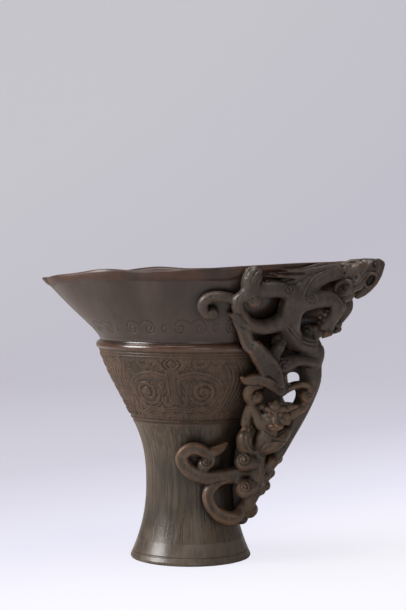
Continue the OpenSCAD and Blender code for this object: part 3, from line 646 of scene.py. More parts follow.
class Cup:
    """The turned and carved cup: foot, waist, band, ledge and mouth."""

    mask_turns = (-90.0, 90.0)
    border_r, border_z, border_turn = 43.0, 103.4, 12.0
    lip_low_z, lip_least_h = 122.4, 3.4

    def __init__(self, shop: HornShop, clay: "Clay") -> None:
        """Keeps the shop that its finishes come from, and the clay that its members are carved of."""
        self.shop = shop
        self.clay = clay

    def painted_shade_and_stain(self, points: np.ndarray) -> np.ndarray:
        """How deep in the members' shade the cup's wall lies, from 0 to 1: painted shade, with some stain,
        beside the members and on the handle's side of the cup.
        """
        touching, clear = 0.4, 3.95
        shaded_deg, open_deg = 34, 58
        low_z, high_z = (14, 24), (119, 124)
        beside_member = 1 - smoothstep(touching, clear, self.clay.distance(points))
        turn = np.abs(np.degrees(np.arctan2(points[:, 1], points[:, 0])))
        # Painted shade: the handle's side of the cup is darkened as if the members shaded it.
        behind = 1 - smoothstep(shaded_deg, open_deg, turn)
        level = smoothstep(*low_z, points[:, 2]) * (1 - smoothstep(*high_z, points[:, 2]))
        return np.maximum(beside_member, 0.75 * behind) * level

    def dress(self, node: str, piece: bpy.types.Object, finish: HornFinish) -> None:
        """Gives a piece its finish and lets it stand for its node."""
        piece.data.materials.append(self.shop.material(finish))
        seat(piece, node)

    def turned(
        self, name: str, rings: list[np.ndarray], closed: bool, wear_and_shade: Sequence[np.ndarray],
        crease_deg: float = 42.0,
    ) -> bpy.types.Object:
        """Piece of rings of points.

        Args:
            name: name of the piece.
            rings: rings of points, in their order along the profile.
            closed: whether the last ring joins the first, or both ends close in a pole.
            wear_and_shade: worn and hollow shares of each ring's points.
            crease_deg: angle above which an edge stays sharp.

        Returns:
            The piece.
        """
        steps = len(rings[0])
        points = np.concatenate(rings)
        faces = ring_faces(len(rings), steps, closed)
        # The hollow layer also takes the painted shade and stain beside and behind the members.
        layers = {"worn": wear_and_shade[0].ravel(), "hollow": np.maximum(wear_and_shade[1].ravel(), self.painted_shade_and_stain(points))}
        if not closed:
            pole = len(points)
            last = pole - steps
            points = np.concatenate([points, [rings[0].mean(0), rings[-1].mean(0)]])
            layers = {key: np.append(values, [0, 0]) for key, values in layers.items()}
            j = np.arange(steps)
            k = (j + 1) % steps
            fans = [[j * 0 + pole, k, j], [j * 0 + pole + 1, last + j, last + k]]
            halves = [faces[:, [0, 1, 2]], faces[:, [0, 2, 3]]]
            faces = np.concatenate(halves + [np.stack(fan, axis=1) for fan in fans])
        return mesh_object(name, points, faces, crease_deg, layers)

    def rings(self, a: np.ndarray, radii: np.ndarray, heights: np.ndarray) -> list[np.ndarray]:
        """Rings of points from radii and heights, one row a ring."""
        cos, sin = np.cos(np.radians(a)), np.sin(np.radians(a))
        return [np.stack([r * cos, r * sin, z + 0 * cos], axis=1) for r, z in zip(radii, heights)]

    def wear_and_shade_rows(self, count: int, steps: int, place: int, worn: np.ndarray, hollow: np.ndarray) -> list:
        """Wear and painted shade layers of all rings, with the carved rows put in from a place on."""
        layers = [np.zeros((count, steps)), np.zeros((count, steps))]
        for layer, values in zip(layers, (worn, hollow)):
            layer[place : place + len(values)] = values
        return layers

    def foot(self) -> None:
        """Spreading foot, with a thin turned line over its edge."""
        steps, line_z = 360, 3.4
        a = angles(steps, 0)
        z = np.concatenate([
            np.linspace(WALL.foot_h, WALL.foot_round, 40),
            [WALL.foot_round * 0.7, WALL.foot_round * 0.4, WALL.foot_round * 0.15, 0],
        ])
        draw = Strokes(a - 180, z[::-1])
        draw.draw([(-180, line_z), (180, line_z)], 0.35, -0.16)
        relief = draw.relief()[::-1]
        radius = WALL.waist_wall_r(z)
        edge = np.clip(1 - z / WALL.foot_round, 0, 1)
        radius = radius - WALL.foot_round * (1 - np.sqrt(np.clip(1 - edge**2, 0, 1)))
        radii = radius[:, None] + relief + 0 * a
        worn, hollow = grid_wear_and_shade(relief)
        rings = self.rings(a, radii, z[:, None])
        wear_and_shade = self.wear_and_shade_rows(len(rings), steps, 0, worn, hollow)
        piece = self.turned("foot_turned", rings, False, wear_and_shade)
        self.dress("foot", piece, FOOT_HORN)

    def cracks(self, draw: Strokes) -> None:
        """Upright drying cracks and raised fibres of the waist."""
        seed, count = 7, 230
        rng = np.random.default_rng(seed)
        for _ in range(count):
            x = rng.uniform(-180, 180) * math.pi / 180 * WALL.waist_r
            y = rng.uniform(WALL.foot_h, WALL.band_z - 3)
            length = rng.uniform(5, 20)
            sway = rng.uniform(-0.25, 0.25, 4).cumsum()
            line = np.stack([x + sway, np.linspace(y, min(y + length, WALL.band_z - 1.5), 4)], axis=1)
            draw.draw(line, rng.uniform(0.22, 0.42), -rng.uniform(0.04, 0.12), 0.9)
        deepest = [(-1.9, 22), (-2.0, 26), (-1.8, 30), (-2.1, 34)]
        draw.draw(np.array(deepest), 0.3, -0.35, 0.9)

    def waist(self) -> None:
        """Fibrous waist with the rounded bottom of the well."""
        steps = 520
        a = angles(steps)
        z = np.linspace(WALL.band_z, WALL.foot_h, 110)
        draw = Strokes(a * math.pi / 180 * WALL.waist_r, z[::-1])
        self.cracks(draw)
        relief = draw.relief()[::-1]
        fade = smoothstep(0, 1.2, WALL.band_z - z) * smoothstep(0, 1.2, z - WALL.foot_h)
        relief = relief * fade[:, None]
        radii = WALL.waist_wall_r(z)[:, None] + relief
        worn, hollow = grid_wear_and_shade(relief * 1.4)
        well = np.linspace(WALL.well_z + 0.02, WALL.band_z, 18)
        inner = WALL.inside_r(well)[:, None] + 0 * radii[:1]
        outer_rings = self.rings(a, radii, z[:, None])
        inner_rings = self.rings(a, inner, well[:, None])
        rings = inner_rings + outer_rings
        wear_and_shade = self.wear_and_shade_rows(len(rings), steps, len(inner_rings), worn, hollow)
        piece = self.turned("waist_carved", rings, False, wear_and_shade)
        self.dress("waist", piece, WAIST_HORN)

    def mask(self, draw: Strokes, centre: float, side_sign: int) -> None:
        """One half of a beast mask in low relief.

        Args:
            draw: the band's strokes, across in millimetres at the band's middle.
            centre: place of the mask's middle across.
            side_sign: 1 for its right half and -1 for its left half.
        """
        def on(points: Sequence[Row]) -> np.ndarray:
            """Smooth line through some places of the mask, on its own half."""
            line = np.asarray(points, float) * [side_sign, 1]
            return smooth_rows(line, 5) + [centre, MASK_Z]

        def ring(x: float, y: float, r: float, turns: float, start: float, inner: float) -> np.ndarray:
            """Spiral about a place of the mask, on its own half."""
            return (curl(turns, start, inner) * r + [x, y]) * [side_sign, 1] + [centre, MASK_Z]

        ribbons = [(on(points), width, height) for points, width, height in MASK_RIBBONS]
        for line, width, height in (*ribbons, (ring(*MASK_JAW), 0.62, 0.34)):
            draw.draw(line, width * 1.3, height * 0.9, 0.35)
            draw.draw(line, width * 0.34, -0.22, 0.9)
        for points, *stroke in MASK_STROKES:
            draw.draw(on(points), *stroke)
        for *spiral, width, height, soft in MASK_EYE:
            draw.draw(ring(*spiral), width, height, soft)
        first_x = 21.9
        for x in (first_x, 23.8, 25.7, 27.6, 29.5):
            bow = 1.9 - 0.16 * (x - first_x)
            arc = [(x - bow, 9.6 - 0.2 * (x - first_x)), (x + 0.8, 4.6), (x + 1.0, -2.2), (x - 1.2, -9.0)]
            draw.draw(on(arc), 0.62, 0.28, 0.35)
        for x, y, r, way, start in MASK_CURLS:
            draw.draw(ring(x, y, r, 1.35 * way, start, 0.25), 0.50, 0.28, 0.4)

    def leiwen(self, draw: Strokes, low: float, high: float, size: float, height: float) -> None:
        """Rows of small curls that fill the ground of the band."""
        rows, low_z, high_z = 8, 64.4, 89.0
        pitch = size * 2.4
        for row in range(rows):
            y = low_z + row * (high_z - low_z) / (rows - 1)
            count = int((high - low) / pitch)
            for i in range(count):
                x = low + (i + 0.5 + 0.5 * (row % 2)) * pitch
                way = 1 if (i + row) % 2 else -1
                line = curl(1.3 * way, 90 + 180 * (row % 2), 0.22, 12) * size + [x, y]
                draw.draw(line, size * 0.28, height, 0.8)

    def band(self) -> None:
        """Tapering band with a beast mask in low relief on each side."""
        steps, middle_r = 800, 33.0
        scale = math.pi / 180 * middle_r
        a = angles(steps)
        top = WALL.ledge_z - WALL.ledge_h
        z = np.linspace(top, WALL.band_z, 112)
        up = z[::-1]
        draw = Strokes(a * scale, up)
        for centre in self.mask_turns:
            for side_sign in (-1, 1):
                self.mask(draw, centre * scale, side_sign)
        main = draw.relief()
        ground = Strokes(a * scale, up)
        self.leiwen(ground, -180 * scale, 180 * scale, 1.35, 0.24)
        clear = 1 - smoothstep(0.02, 0.2, np.abs(main))
        relief = main + ground.relief() * clear
        lines = Strokes(a * scale, up)
        first, last = -181 * scale, 181 * scale
        for y, width, height in ((62.0, 0.42, 0.42), (90.3, 0.3, 0.24), (91.5, 0.3, 0.24)):
            lines.draw([(first, y), (last, y)], width, height, 0.7)
        relief = relief * smoothstep(62.6, 63.6, up)[:, None]
        relief = relief * (1 - smoothstep(88.8, 89.8, up))[:, None]
        sunk, share = 0.22, 0.85
        relief = (share * relief + lines.relief())[::-1] - sunk
        fade = smoothstep(0, 0.5, top - z) * smoothstep(0, 0.5, z - WALL.band_z)
        relief = relief * fade[:, None]
        radii = WALL.band_wall_r(z)[:, None] + relief
        worn, hollow = grid_wear_and_shade(relief)
        inner_z = np.linspace(WALL.band_z, top, 8)
        inner = WALL.inside_r(inner_z)[:, None] + 0 * radii[:1]
        rings = self.rings(a, radii, z[:, None]) + self.rings(a, inner, inner_z[:, None])
        wear_and_shade = self.wear_and_shade_rows(len(rings), steps, 0, worn * 0.6, hollow)
        piece = self.turned("mask_band_carved", rings, True, wear_and_shade)
        self.dress("mask_band", piece, BAND_HORN)

    def ledge(self) -> None:
        """Polished step under the mouth, with a cove over it and a bead round its edge."""
        steps = 360
        a = angles(steps, 0)
        top, low = WALL.ledge_z, WALL.ledge_z - WALL.ledge_h
        skirt, lap, grip = 0.9, 0.5, 1.5
        cove_h, cove_low = 2.3, 0.85
        bead_r, bead_out, bead_drop = 1.9, 0.15, 1.1
        inner_top, inner_low = (float(WALL.inside_r(np.array(z))) for z in (top, low))
        foot_r = float(WALL.band_wall_r(np.array(low - skirt)))
        rim_z, rim_r = WALL.rim_z(a), WALL.rim_r(a)

        def wall(z: float) -> np.ndarray:
            """Radius of the mouth's foot all round at a height."""
            return WALL.mouth_at(rim_r, (z - top) / (rim_z - top))

        profile: list[tuple[object, float]] = [
            (inner_top, top), (wall(top) - lap, top + 0.02), (wall(top + cove_h) - lap, top + cove_h),
        ]
        for t in np.radians(np.linspace(90, 0, 7)):
            z = top + cove_h - (cove_h - cove_low) * math.cos(t)
            profile.append((wall(z) + 0.04 + 0.5 * (1 - math.sin(t)), z))
        for t in np.radians(np.linspace(78, -44, 10)):
            r = WALL.ledge_r + bead_out - bead_r * (1 - math.cos(t))
            profile.append((r, top - bead_drop + bead_r * math.sin(t)))
        profile += [
            (foot_r + bead_out, low - skirt), (foot_r - grip, low - skirt), (inner_low + grip, low),
            (inner_low, low),
        ]
        radii = np.array([r + 0 * a for r, _ in profile])
        heights = np.array([float(h) for _, h in profile])[:, None]
        rings = self.rings(a, radii, heights)
        worn, shaded = np.zeros((2, len(rings), steps))
        bead_rings, cove_rings = slice(14, 19), slice(3, 11)
        worn[bead_rings] = 0.2
        # Painted shade: the cove over the bead is darkened as the recess would be in shadow.
        shaded[cove_rings] = 0.7
        piece = self.turned("ledge_turned", rings, True, [worn, shaded], 30.0)
        self.dress("ledge_ring", piece, LEDGE_HORN)

    def scroll_border(self, draw: Strokes) -> None:
        """Incised border of cloud heads and small curls round the foot of the mouth."""
        units = WALL.petals
        pitch = 2 * math.pi * self.border_r / units
        y = self.border_z
        arch = [(-6.9, 0.6), (-5.1, 3.1), (-2.1, 3.2), (0, 1.9), (2.1, 3.3), (5.1, 3.0), (6.8, 0.6)]
        for i in range(units + 1):
            x = (i - units / 2) * pitch + self.border_r * math.radians(self.border_turn)
            draw.draw(smooth_rows(np.array(arch), 4) + [x, y], 0.50, -0.24, 0.9)
            for way in (-1, 1):
                end = curl(1.2 * way, 90 + 90 * way, 0.25) * [2.4, 2.3] + [x - 4.4 * way, y - 0.4]
                draw.draw(end, 0.46, -0.24, 0.9)
            small = curl(0.8, 60, 0.6) * [1.5, 1.8] + [x + pitch / 2, y - 0.3]
            draw.draw(small, 0.44, -0.22, 0.9)

    @staticmethod
    def rim_rise(a: np.ndarray) -> np.ndarray:
        """How far the wavy rim stands over the even one between the spout and the handle."""
        turn = np.abs(a)
        swell = 2.5 * smoothstep(85, 122, turn) * (1 - smoothstep(126, 164, turn))
        return swell + 0.25 * np.cos(np.radians(WALL.petals * a)) * smoothstep(80, 100, turn)

    def lip_height(self, a: np.ndarray) -> np.ndarray:
        """Height of the lip, whose lower edge runs level round the cup."""
        level = np.maximum(WALL.rim_z(a) + self.rim_rise(a) - self.lip_low_z, self.lip_least_h)
        return WALL.lip_h + (level - WALL.lip_h) * smoothstep(48, 62, np.abs(a))

    def mouth(self) -> None:
        """Flared mouth with its lip, its spout and its incised border."""
        steps, upper, mouth_h = 960, 0.375, 34.0
        a = angles(steps)
        low_rim_z, rim_r = WALL.rim_z(a), WALL.rim_r(a)
        rim_z, lip_h = low_rim_z + self.rim_rise(a), self.lip_height(a)
        shares = np.concatenate([
            np.linspace(0, 0.14, 6)[:-1], np.linspace(0.14, upper, 36)[:-1], np.linspace(upper, 1, 13),
        ])
        draw = Strokes(np.radians(a) * self.border_r, WALL.ledge_z + shares * mouth_h)
        self.scroll_border(draw)
        relief = draw.relief()
        outer_z = WALL.ledge_z + np.minimum(shares, upper)[:, None] * (low_rim_z - WALL.ledge_z)
        above = np.maximum(shares - upper, 0)[:, None] / (1 - upper)
        outer_z = outer_z + above * (rim_z - 1.03 * lip_h - outer_z)

        def wall(z: np.ndarray) -> np.ndarray:
            """Radius of the mouth at heights, upright above the even rim."""
            t = (z - WALL.ledge_z) / (low_rim_z - WALL.ledge_z)
            return WALL.mouth_at(rim_r, np.minimum(t, 0.7 + 0.3 * t))

        outer_r = wall(outer_z) + relief
        down = np.array([0.97, 0.88, 0.74, 0.5, 0.26, 0.07, 0.0])
        bulge = np.array([0.15, 0.6, 0.95, 1.0, 0.9, 0.55, 0.1]) * WALL.lip_out
        lip_z = rim_z - down[:, None] * lip_h
        lip_r = wall(lip_z) + bulge[:, None]
        in_down = np.array([0.02, 0.1, 0.35, 0.8, 1.6]) * WALL.lip_h / 1.6
        in_shares = np.array([0.35, 0.62, 0.86, 0.97, 1.0])
        in_z = rim_z - in_down[:, None]
        in_r = wall(in_z) - WALL.mouth_wall * in_shares[:, None]
        well_shares = np.linspace(0.9, 0, 16)
        well_z = WALL.ledge_z + well_shares[:, None] * (rim_z - WALL.ledge_z)
        well_r = WALL.mouth_at(rim_r, well_shares[:, None]) - WALL.mouth_wall
        radii = np.concatenate([outer_r, lip_r, in_r, well_r])[::-1]
        heights = np.concatenate([outer_z, lip_z, in_z, well_z])[::-1]
        rings = self.rings(a, radii, heights)
        worn, hollow = grid_wear_and_shade(relief)
        # Painted shade: the mouth's lowest rings, just over the ledge, are darkened.
        hollow = hollow * 0.7 + 0.5 * (1 - smoothstep(0.02, 0.15, shares))[:, None]
        worn_all = np.concatenate([worn * 0.4, lip_r * 0 + 0.35, in_r * 0 + 0.3, well_r * 0])[::-1]
        hollow_all = np.concatenate([hollow, lip_r * 0, in_r * 0, well_r * 0])[::-1]
        piece = self.turned("mouth_bowl_carved", rings, True, [worn_all, hollow_all])
        self.dress("mouth_bowl", piece, BOWL_HORN)
        piece.data.materials.append(self.shop.material(LIP_HORN))
        is_lip = np.repeat([0, 1], [len(outer_r), len(radii) - len(outer_r)])[::-1]
        piece.data.polygons.foreach_set("material_index", np.repeat(is_lip, steps).astype(np.int32))

    def build(self) -> None:
        """Builds all the pieces of the cup."""
        for make in (self.foot, self.waist, self.band, self.ledge, self.mouth):
            make()
            LOG.info("made the %s", make.__name__)


def seat(piece: bpy.types.Object, *nodes: str) -> None:
    """Lets a piece ride on the cup and stand for its nodes, whose solids it hides."""
    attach(piece, BODY)
    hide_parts(*nodes)


# Handle


FAR_OFF = 4.0
FACING_TURN = math.radians(76)
FACING = {
    side: np.array([math.cos(FACING_TURN), side.value * math.sin(FACING_TURN), 0.0]) for side in Side
}
PREFIX = {Side.NEAR: "near_", Side.FAR: "far_"}


@dataclass
class Line:
    """Line of clay or of a tool: points, a radius at each, and how much wider it is than high."""

    points: np.ndarray
    radii: np.ndarray
    flat: float = 1.0
    up: Optional[np.ndarray] = None


@dataclass(frozen=True)
class Detail:
    """Line that the photograph shows on the near side, in its pixels."""

    pixels: tuple[tuple[float, float], ...]
    radius: float
    depth: float


def beside(row: Row, out: float, across: float, up: float, thick_share: float = 1.0) -> list[float]:
    """Place at a distance outwards, across and upwards from another place.

    Args:
        row: degrees, share of height, share of reach and thickness share of the first place.
        out, across, up: distances in millimetres.
        thick_share: thickness share of the new place.

    Returns:
        The new place's row.
    """
    z = row[1] * WALL.cup_h
    r = float(WALL.wall_r(np.array(row[0]), np.array(z))) + row[2] * WALL.reach
    a2, z2 = row[0] + math.degrees(across / r), z + up
    wall = float(WALL.wall_r(np.array(a2), np.array(z2)))
    return [a2, z2 / WALL.cup_h, (r + out - wall) / WALL.reach, thick_share]


def limb(rows: Sequence[Row], thick: float, side: Side, flat: float = 1.0) -> Line:
    """Limb along the rows of a table, as thick as their last column times a thickness."""
    steps, least = 4, 0.14
    path = smooth_rows(np.array(rows, float), steps)
    return Line(WALL.place(path, side), np.maximum(path[:, 3], least) * thick, flat, FACING[side])


def link(rows: Sequence[Row], thick: float, side: Side) -> Line:
    """Straight chain through the places of some rows."""
    path = np.array(rows, float)
    return Line(WALL.place(path, side), path[:, 3] * thick)


def links_about(centre: Row, chains: Sequence[Sequence[Row]], size: float, side: Side) -> list[Line]:
    """Chains whose places are offsets from one place, as shares of a size.

    Args:
        centre: the place that they lie about.
        chains: outwards, across, upwards and thickness, one row a place.
        size: the size that the shares are of.
        side: the side of the cup.

    Returns:
        One line a chain.
    """
    lines = []
    for chain in chains:
        rows = [
            beside(centre, out * size, across * size, up * size, thick) for out, across, up, thick in chain
        ]
        lines.append(link(rows, size, side))
    return lines


def ring_about(centre: Row, at: Row, size: float, side: Side, turns: float = 1.0, inner: float = 1.0) -> Line:
    """Ring, or flat spiral, that faces sideways about an offset from a place.

    Args:
        centre: the place that it lies about.
        at: outwards, across, upwards, radius and thickness, as shares of the size.
        size: the size that the shares are of.
        side: the side of the cup.
        turns: turns that it winds.
        inner: radius of its inner end, as a share of the outer one.

    Returns:
        The ring's line.
    """
    wind = curl(turns, 20, inner, 20)
    rows = [
        beside(centre, (at[0] + at[3] * x) * size, at[1] * size, (at[2] + at[3] * y) * size, at[4])
        for x, y in wind
    ]
    return link(rows, size, side)


def eyelet(centre: Row, at: Row, face: int, size: float, side: Side) -> tuple[Line, Line]:
    """Long ring on one face of a head, and the tool that hollows it.

    Args:
        centre: the head's place.
        at: outwards, across, upwards, half length, half width, tilt in degrees, and thickness.
        face: 1 for the outer face of the head and -1 for the inner one.
        size: the size that the shares are of.
        side: the side of the cup.

    Returns:
        The ring and the tool.
    """
    out, across, up, long, short, tilt, thick = at
    cos, sin = math.cos(math.radians(tilt)), math.sin(math.radians(tilt))
    rows = []
    for x, y in curl(1.0, 0, 1.0, 24) * [long, short]:
        away, rise = out + x * cos - y * sin, up + x * sin + y * cos
        rows.append(beside(centre, away * size, face * across * size, rise * size, thick))
    bed = []
    for way in (-1, 1):
        run = way * (long - short)
        place = ((out + run * cos) * size, face * across * 1.05 * size, (up + run * sin) * size)
        bed.append(beside(centre, *place, short * 0.62))
    return link(rows, size, side), link(bed, size, side)


def paw(row: Row, size: float, side: Side, turn: float, thick: float = 0.42) -> list[Line]:
    """Toes with knuckles and bent claws, spread round the end of a leg."""
    toes = []
    for toe in (-58, -8, 42):
        a = math.radians(turn + toe)
        away, rise = math.cos(a), math.sin(a)
        rows = [
            beside(row, 0, 0, 0, thick * 1.15),
            beside(row, 0.25 * size, 0.42 * size * away, 0.42 * size * rise, thick),
            beside(row, 0.35 * size, 0.85 * size * away, 0.85 * size * rise, thick * 1.1),
            beside(row, 0.12 * size, 1.15 * size * away, 1.15 * size * rise, thick * 0.7),
            beside(row, -0.1 * size, 1.40 * size * away, 1.40 * size * rise, 0.14),
        ]
        toes.append(link(rows, size, side))
    return toes


def soft_min(first: np.ndarray, second: np.ndarray, blend: float) -> np.ndarray:
    """Lower one of two fields, with a soft run from one to the other."""
    mix = np.clip(blend - np.abs(first - second), 0, None)
    return np.minimum(first, second) - mix * mix / (4 * blend)


class Clay:
    """Block of clay: how far each point of a grid lies from the carved surface, in millimetres."""

    tool_margin = 1.5

    def __init__(self, low: Row, high: Row, voxel: float) -> None:
        """Makes an empty block between two corners."""
        self.low = np.array(low, float)
        self.voxel = voxel
        self.axes = [np.arange(a, b, voxel, dtype=np.float32) for a, b in zip(low, high)]
        shape = tuple(len(axis) for axis in self.axes)
        self.body = np.full(shape, FAR_OFF, np.float32)
        self.near = np.full(shape, FAR_OFF, np.float32)
        self.next = np.full(shape, FAR_OFF, np.float32)
        self.owner = np.full(shape, -1, np.int8)
        self.runner = np.full(shape, -1, np.int8)
        self.names: list[str] = []
        self.boxes: list[tuple[slice, ...]] = []

    def box(self, low: np.ndarray, high: np.ndarray) -> tuple[slice, ...]:
        """Slices of the grid between two corners."""
        first = np.floor((low - self.low) / self.voxel).astype(int)
        last = np.ceil((high - self.low) / self.voxel).astype(int) + 1
        return tuple(slice(max(a, 0), max(min(b, n), 0)) for a, b, n in zip(first, last, self.body.shape))

    def grid(self, box: tuple[slice, ...]) -> list[np.ndarray]:
        """Coordinates of the grid's points inside a box, ready to spread over it."""
        x, y, z = (axis[part] for axis, part in zip(self.axes, box))
        return [x[:, None, None], y[None, :, None], z[None, None, :]]

    def tubes(self, lines: Sequence[Line], margin: float) -> tuple[tuple[slice, ...], np.ndarray]:
        """Distance from some lines, in the box that holds them with a margin.

        Args:
            lines: the lines.
            margin: how far round them the distance is worked out.

        Returns:
            The box and the distances in it.
        """
        low = np.min([(line.points - line.radii[:, None]).min(0) for line in lines], axis=0) - margin
        high = np.max([(line.points + line.radii[:, None]).max(0) for line in lines], axis=0) + margin
        outer = self.box(low, high)
        out = np.full(tuple(part.stop - part.start for part in outer), FAR_OFF, np.float32)
        for line in lines:
            for i in range(max(len(line.points) - 1, 1)):
                j = min(i + 1, len(line.points) - 1)
                self.segment(line, i, j, margin, outer, out)
        return outer, out

    def segment(
        self, line: Line, i: int, j: int, margin: float, outer: tuple[slice, ...], out: np.ndarray
    ) -> None:
        """Lowers the distances in a box to those of one tapered segment of a line."""
        a, b = line.points[i].astype(np.float32), line.points[j].astype(np.float32)
        ra, rb = float(line.radii[i]), float(line.radii[j])
        r = max(ra, rb) + margin
        box = tuple(
            slice(max(p.start, q.start), min(p.stop, q.stop))
            for p, q in zip(self.box(np.minimum(a, b) - r, np.maximum(a, b) + r), outer)
        )
        if any(part.stop <= part.start for part in box):
            return
        x, y, z = self.grid(box)
        run = b - a
        size = max(float(run @ run), 1e-9)
        dx, dy, dz = x - a[0], y - a[1], z - a[2]
        t = np.clip((dx * run[0] + dy * run[1] + dz * run[2]) / size, 0, 1)
        qx, qy, qz = dx - t * run[0], dy - t * run[1], dz - t * run[2]
        square = qx * qx + qy * qy + qz * qz
        if line.flat != 1.0 and line.up is not None:
            up = line.up.astype(np.float32)
            rise = qx * up[0] + qy * up[1] + qz * up[2]
            square += rise * rise * (line.flat**2 - 1)
        near = np.sqrt(square) - (ra + (rb - ra) * t)
        inner = tuple(slice(p.start - q.start, p.stop - q.start) for p, q in zip(box, outer))
        np.minimum(out[inner], near, out=out[inner])

    def take(self, name: str, box: tuple[slice, ...], field_mm: np.ndarray, blend: float) -> None:
        """Blends a form into the clay, and keeps which node is nearest at each point.

        Args:
            name: the node that the form belongs to.
            box: where the form lies.
            field_mm: distances from the form in that box.
            blend: how softly it runs into what is there.
        """
        if name not in self.names:
            self.names.append(name)
            self.boxes.append(box)
        index = self.names.index(name)
        self.boxes[index] = tuple(
            slice(min(p.start, q.start), max(p.stop, q.stop)) for p, q in zip(self.boxes[index], box)
        )
        self.body[box] = soft_min(self.body[box], field_mm, blend)
        near, after, owner, runner = self.near[box], self.next[box], self.owner[box], self.runner[box]
        same = owner == index
        first = (field_mm < near) & ~same
        second = ~first & ~same & (field_mm < after)
        after[...] = np.where(first, near, np.where(second, field_mm, after))
        runner[...] = np.where(first, owner, np.where(second, index, runner))
        near[...] = np.where(first | same, np.minimum(field_mm, near), near)
        owner[...] = np.where(first, index, owner)

    def distance(self, points: np.ndarray) -> np.ndarray:
        """Distance from the clay at some points, far off where they lie outside the block."""
        index = np.rint((points - self.low) / self.voxel).astype(int)
        ok = ((index >= 0) & (index < self.body.shape)).all(1)
        out = np.full(len(points), FAR_OFF)
        out[ok] = self.whole[tuple(index[ok].T)]
        return out

    def press(self, name: str, lines: Sequence[Line], blend: float) -> None:
        """Presses the lines of a node into the clay."""
        box, near = self.tubes(lines, FAR_OFF)
        self.take(name, box, near, blend)

    def plate(self, name: str, outline: np.ndarray, holes: np.ndarray, half: float) -> None:
        """Presses an upright plate in the middle plane.

        Args:
            name: the node that it belongs to.
            outline: closed outline in x and z.
            holes: middles of its openings in x and z, their radii and how flat they are.
            half: half of the plate's thickness.
        """
        margin = 2
        low = np.array([outline[:, 0].min() - margin, -half - margin, outline[:, 1].min() - margin])
        high = np.array([outline[:, 0].max() + margin, half + margin, outline[:, 1].max() + margin])
        box = self.box(low, high)
        x, y, z = self.grid(box)
        flat_x, flat_z = x[:, 0, :], z[0, :, :]
        near = np.full((flat_x.shape[0], flat_z.shape[1]), np.inf)
        inside = np.zeros(near.shape, bool)
        for a, b in zip(outline, np.roll(outline, -1, 0)):
            near = np.minimum(near, from_segment(flat_x, flat_z, a, b))
            run = b - a
            crosses = (flat_z > min(a[1], b[1])) & (flat_z <= max(a[1], b[1]))
            if abs(run[1]) > 1e-9:
                inside ^= crosses & (flat_x < a[0] + (flat_z - a[1]) / run[1] * run[0])
        shape = np.where(inside, -near, near)
        for hole in holes:
            gap = hole[2] - np.hypot(flat_x - hole[0], (flat_z - hole[1]) * hole[3])
            shape = np.maximum(shape, gap)
        form = np.maximum(shape[:, None, :], np.abs(y) - half).astype(np.float32)
        self.take(name, box, np.minimum(form, FAR_OFF), 2.0)

    def cut(self, lines: Sequence[Line], soft: float = 0.35) -> None:
        """Cuts grooves along some lines."""
        box, near = self.tubes(lines, self.tool_margin)
        self.body[box] = -soft_min(-self.body[box], near, soft)

    def add(self, lines: Sequence[Line], soft: float = 0.3) -> None:
        """Raises beads and ridges along some lines, as part of whatever they lie on."""
        box, near = self.tubes(lines, self.tool_margin)
        self.body[box] = soft_min(self.body[box], near, soft)

    def channel(self, line: Line, share: float, depth: float, up: Optional[np.ndarray] = None) -> None:
        """Hollows a band lengthwise, and leaves its two edges raised.

        Args:
            line: the band.
            share: radius of the tool, as a share of the band's.
            depth: how deep it cuts.
            up: the side that it cuts, or nothing for outwards from the axis.
        """
        flat = line.points * [1, 1, 0]
        away = flat / np.linalg.norm(flat, axis=1, keepdims=True) if up is None else up[None, :]
        tool = line.radii * share
        lift = line.radii / line.flat + tool - depth
        fade = np.minimum(1, np.minimum(np.arange(len(tool)), np.arange(len(tool))[::-1]) / 3)
        lift = lift + (1 - fade) * depth
        self.cut([Line(line.points + away * lift[:, None], tool)])

    def hits(self, pixels: np.ndarray, side: Side) -> np.ndarray:
        """Where the photograph's pixels meet the clay, on the side that they are carved on.

        Args:
            pixels: across and down.
            side: the near side, or the far side as a mirror image.

        Returns:
            One point a pixel, or NaN where there is no clay.
        """
        eye, ways = ROOM.rays(pixels)
        mirror = np.array([1, -side.value, 1])
        eye, ways = eye * mirror, ways * mirror
        before, behind = 110, 20
        steps = np.arange(ROOM.distance - before, ROOM.distance + behind, self.voxel * 0.5)
        found = np.full((len(pixels), 3), np.nan)
        for i, way in enumerate(ways):
            points = eye + way * steps[:, None]
            index = np.rint((points - self.low) / self.voxel).astype(int)
            ok = ((index >= 0) & (index < self.body.shape)).all(1)
            ok &= points[:, 1] * side.value > -2
            values = np.full(len(steps), FAR_OFF)
            values[ok] = self.body[tuple(index[ok].T)]
            first = np.argmax(values < 0)
            if values[first] < 0:
                found[i] = points[first]
        return found

    def drawn(self, detail: Detail, side: Side) -> list[Line]:
        """Lines of a tool that follow a drawn line over the clay, broken where the clay steps back."""
        longest_step = 2.6
        pixels = smooth_rows(np.array(detail.pixels, float), 6)
        ways = ROOM.rays(pixels)[1] * [1, -side.value, 1]
        points = self.hits(pixels, side) - ways * (detail.radius - detail.depth)
        runs: list[list[np.ndarray]] = [[]]
        for point in points:
            met = not np.isnan(point[0])
            if not met or (runs[-1] and np.linalg.norm(point - runs[-1][-1]) > longest_step):
                runs.append([])
            if met:
                runs[-1].append(point)
        return [Line(np.array(run), np.full(len(run), detail.radius)) for run in runs if len(run) > 1]

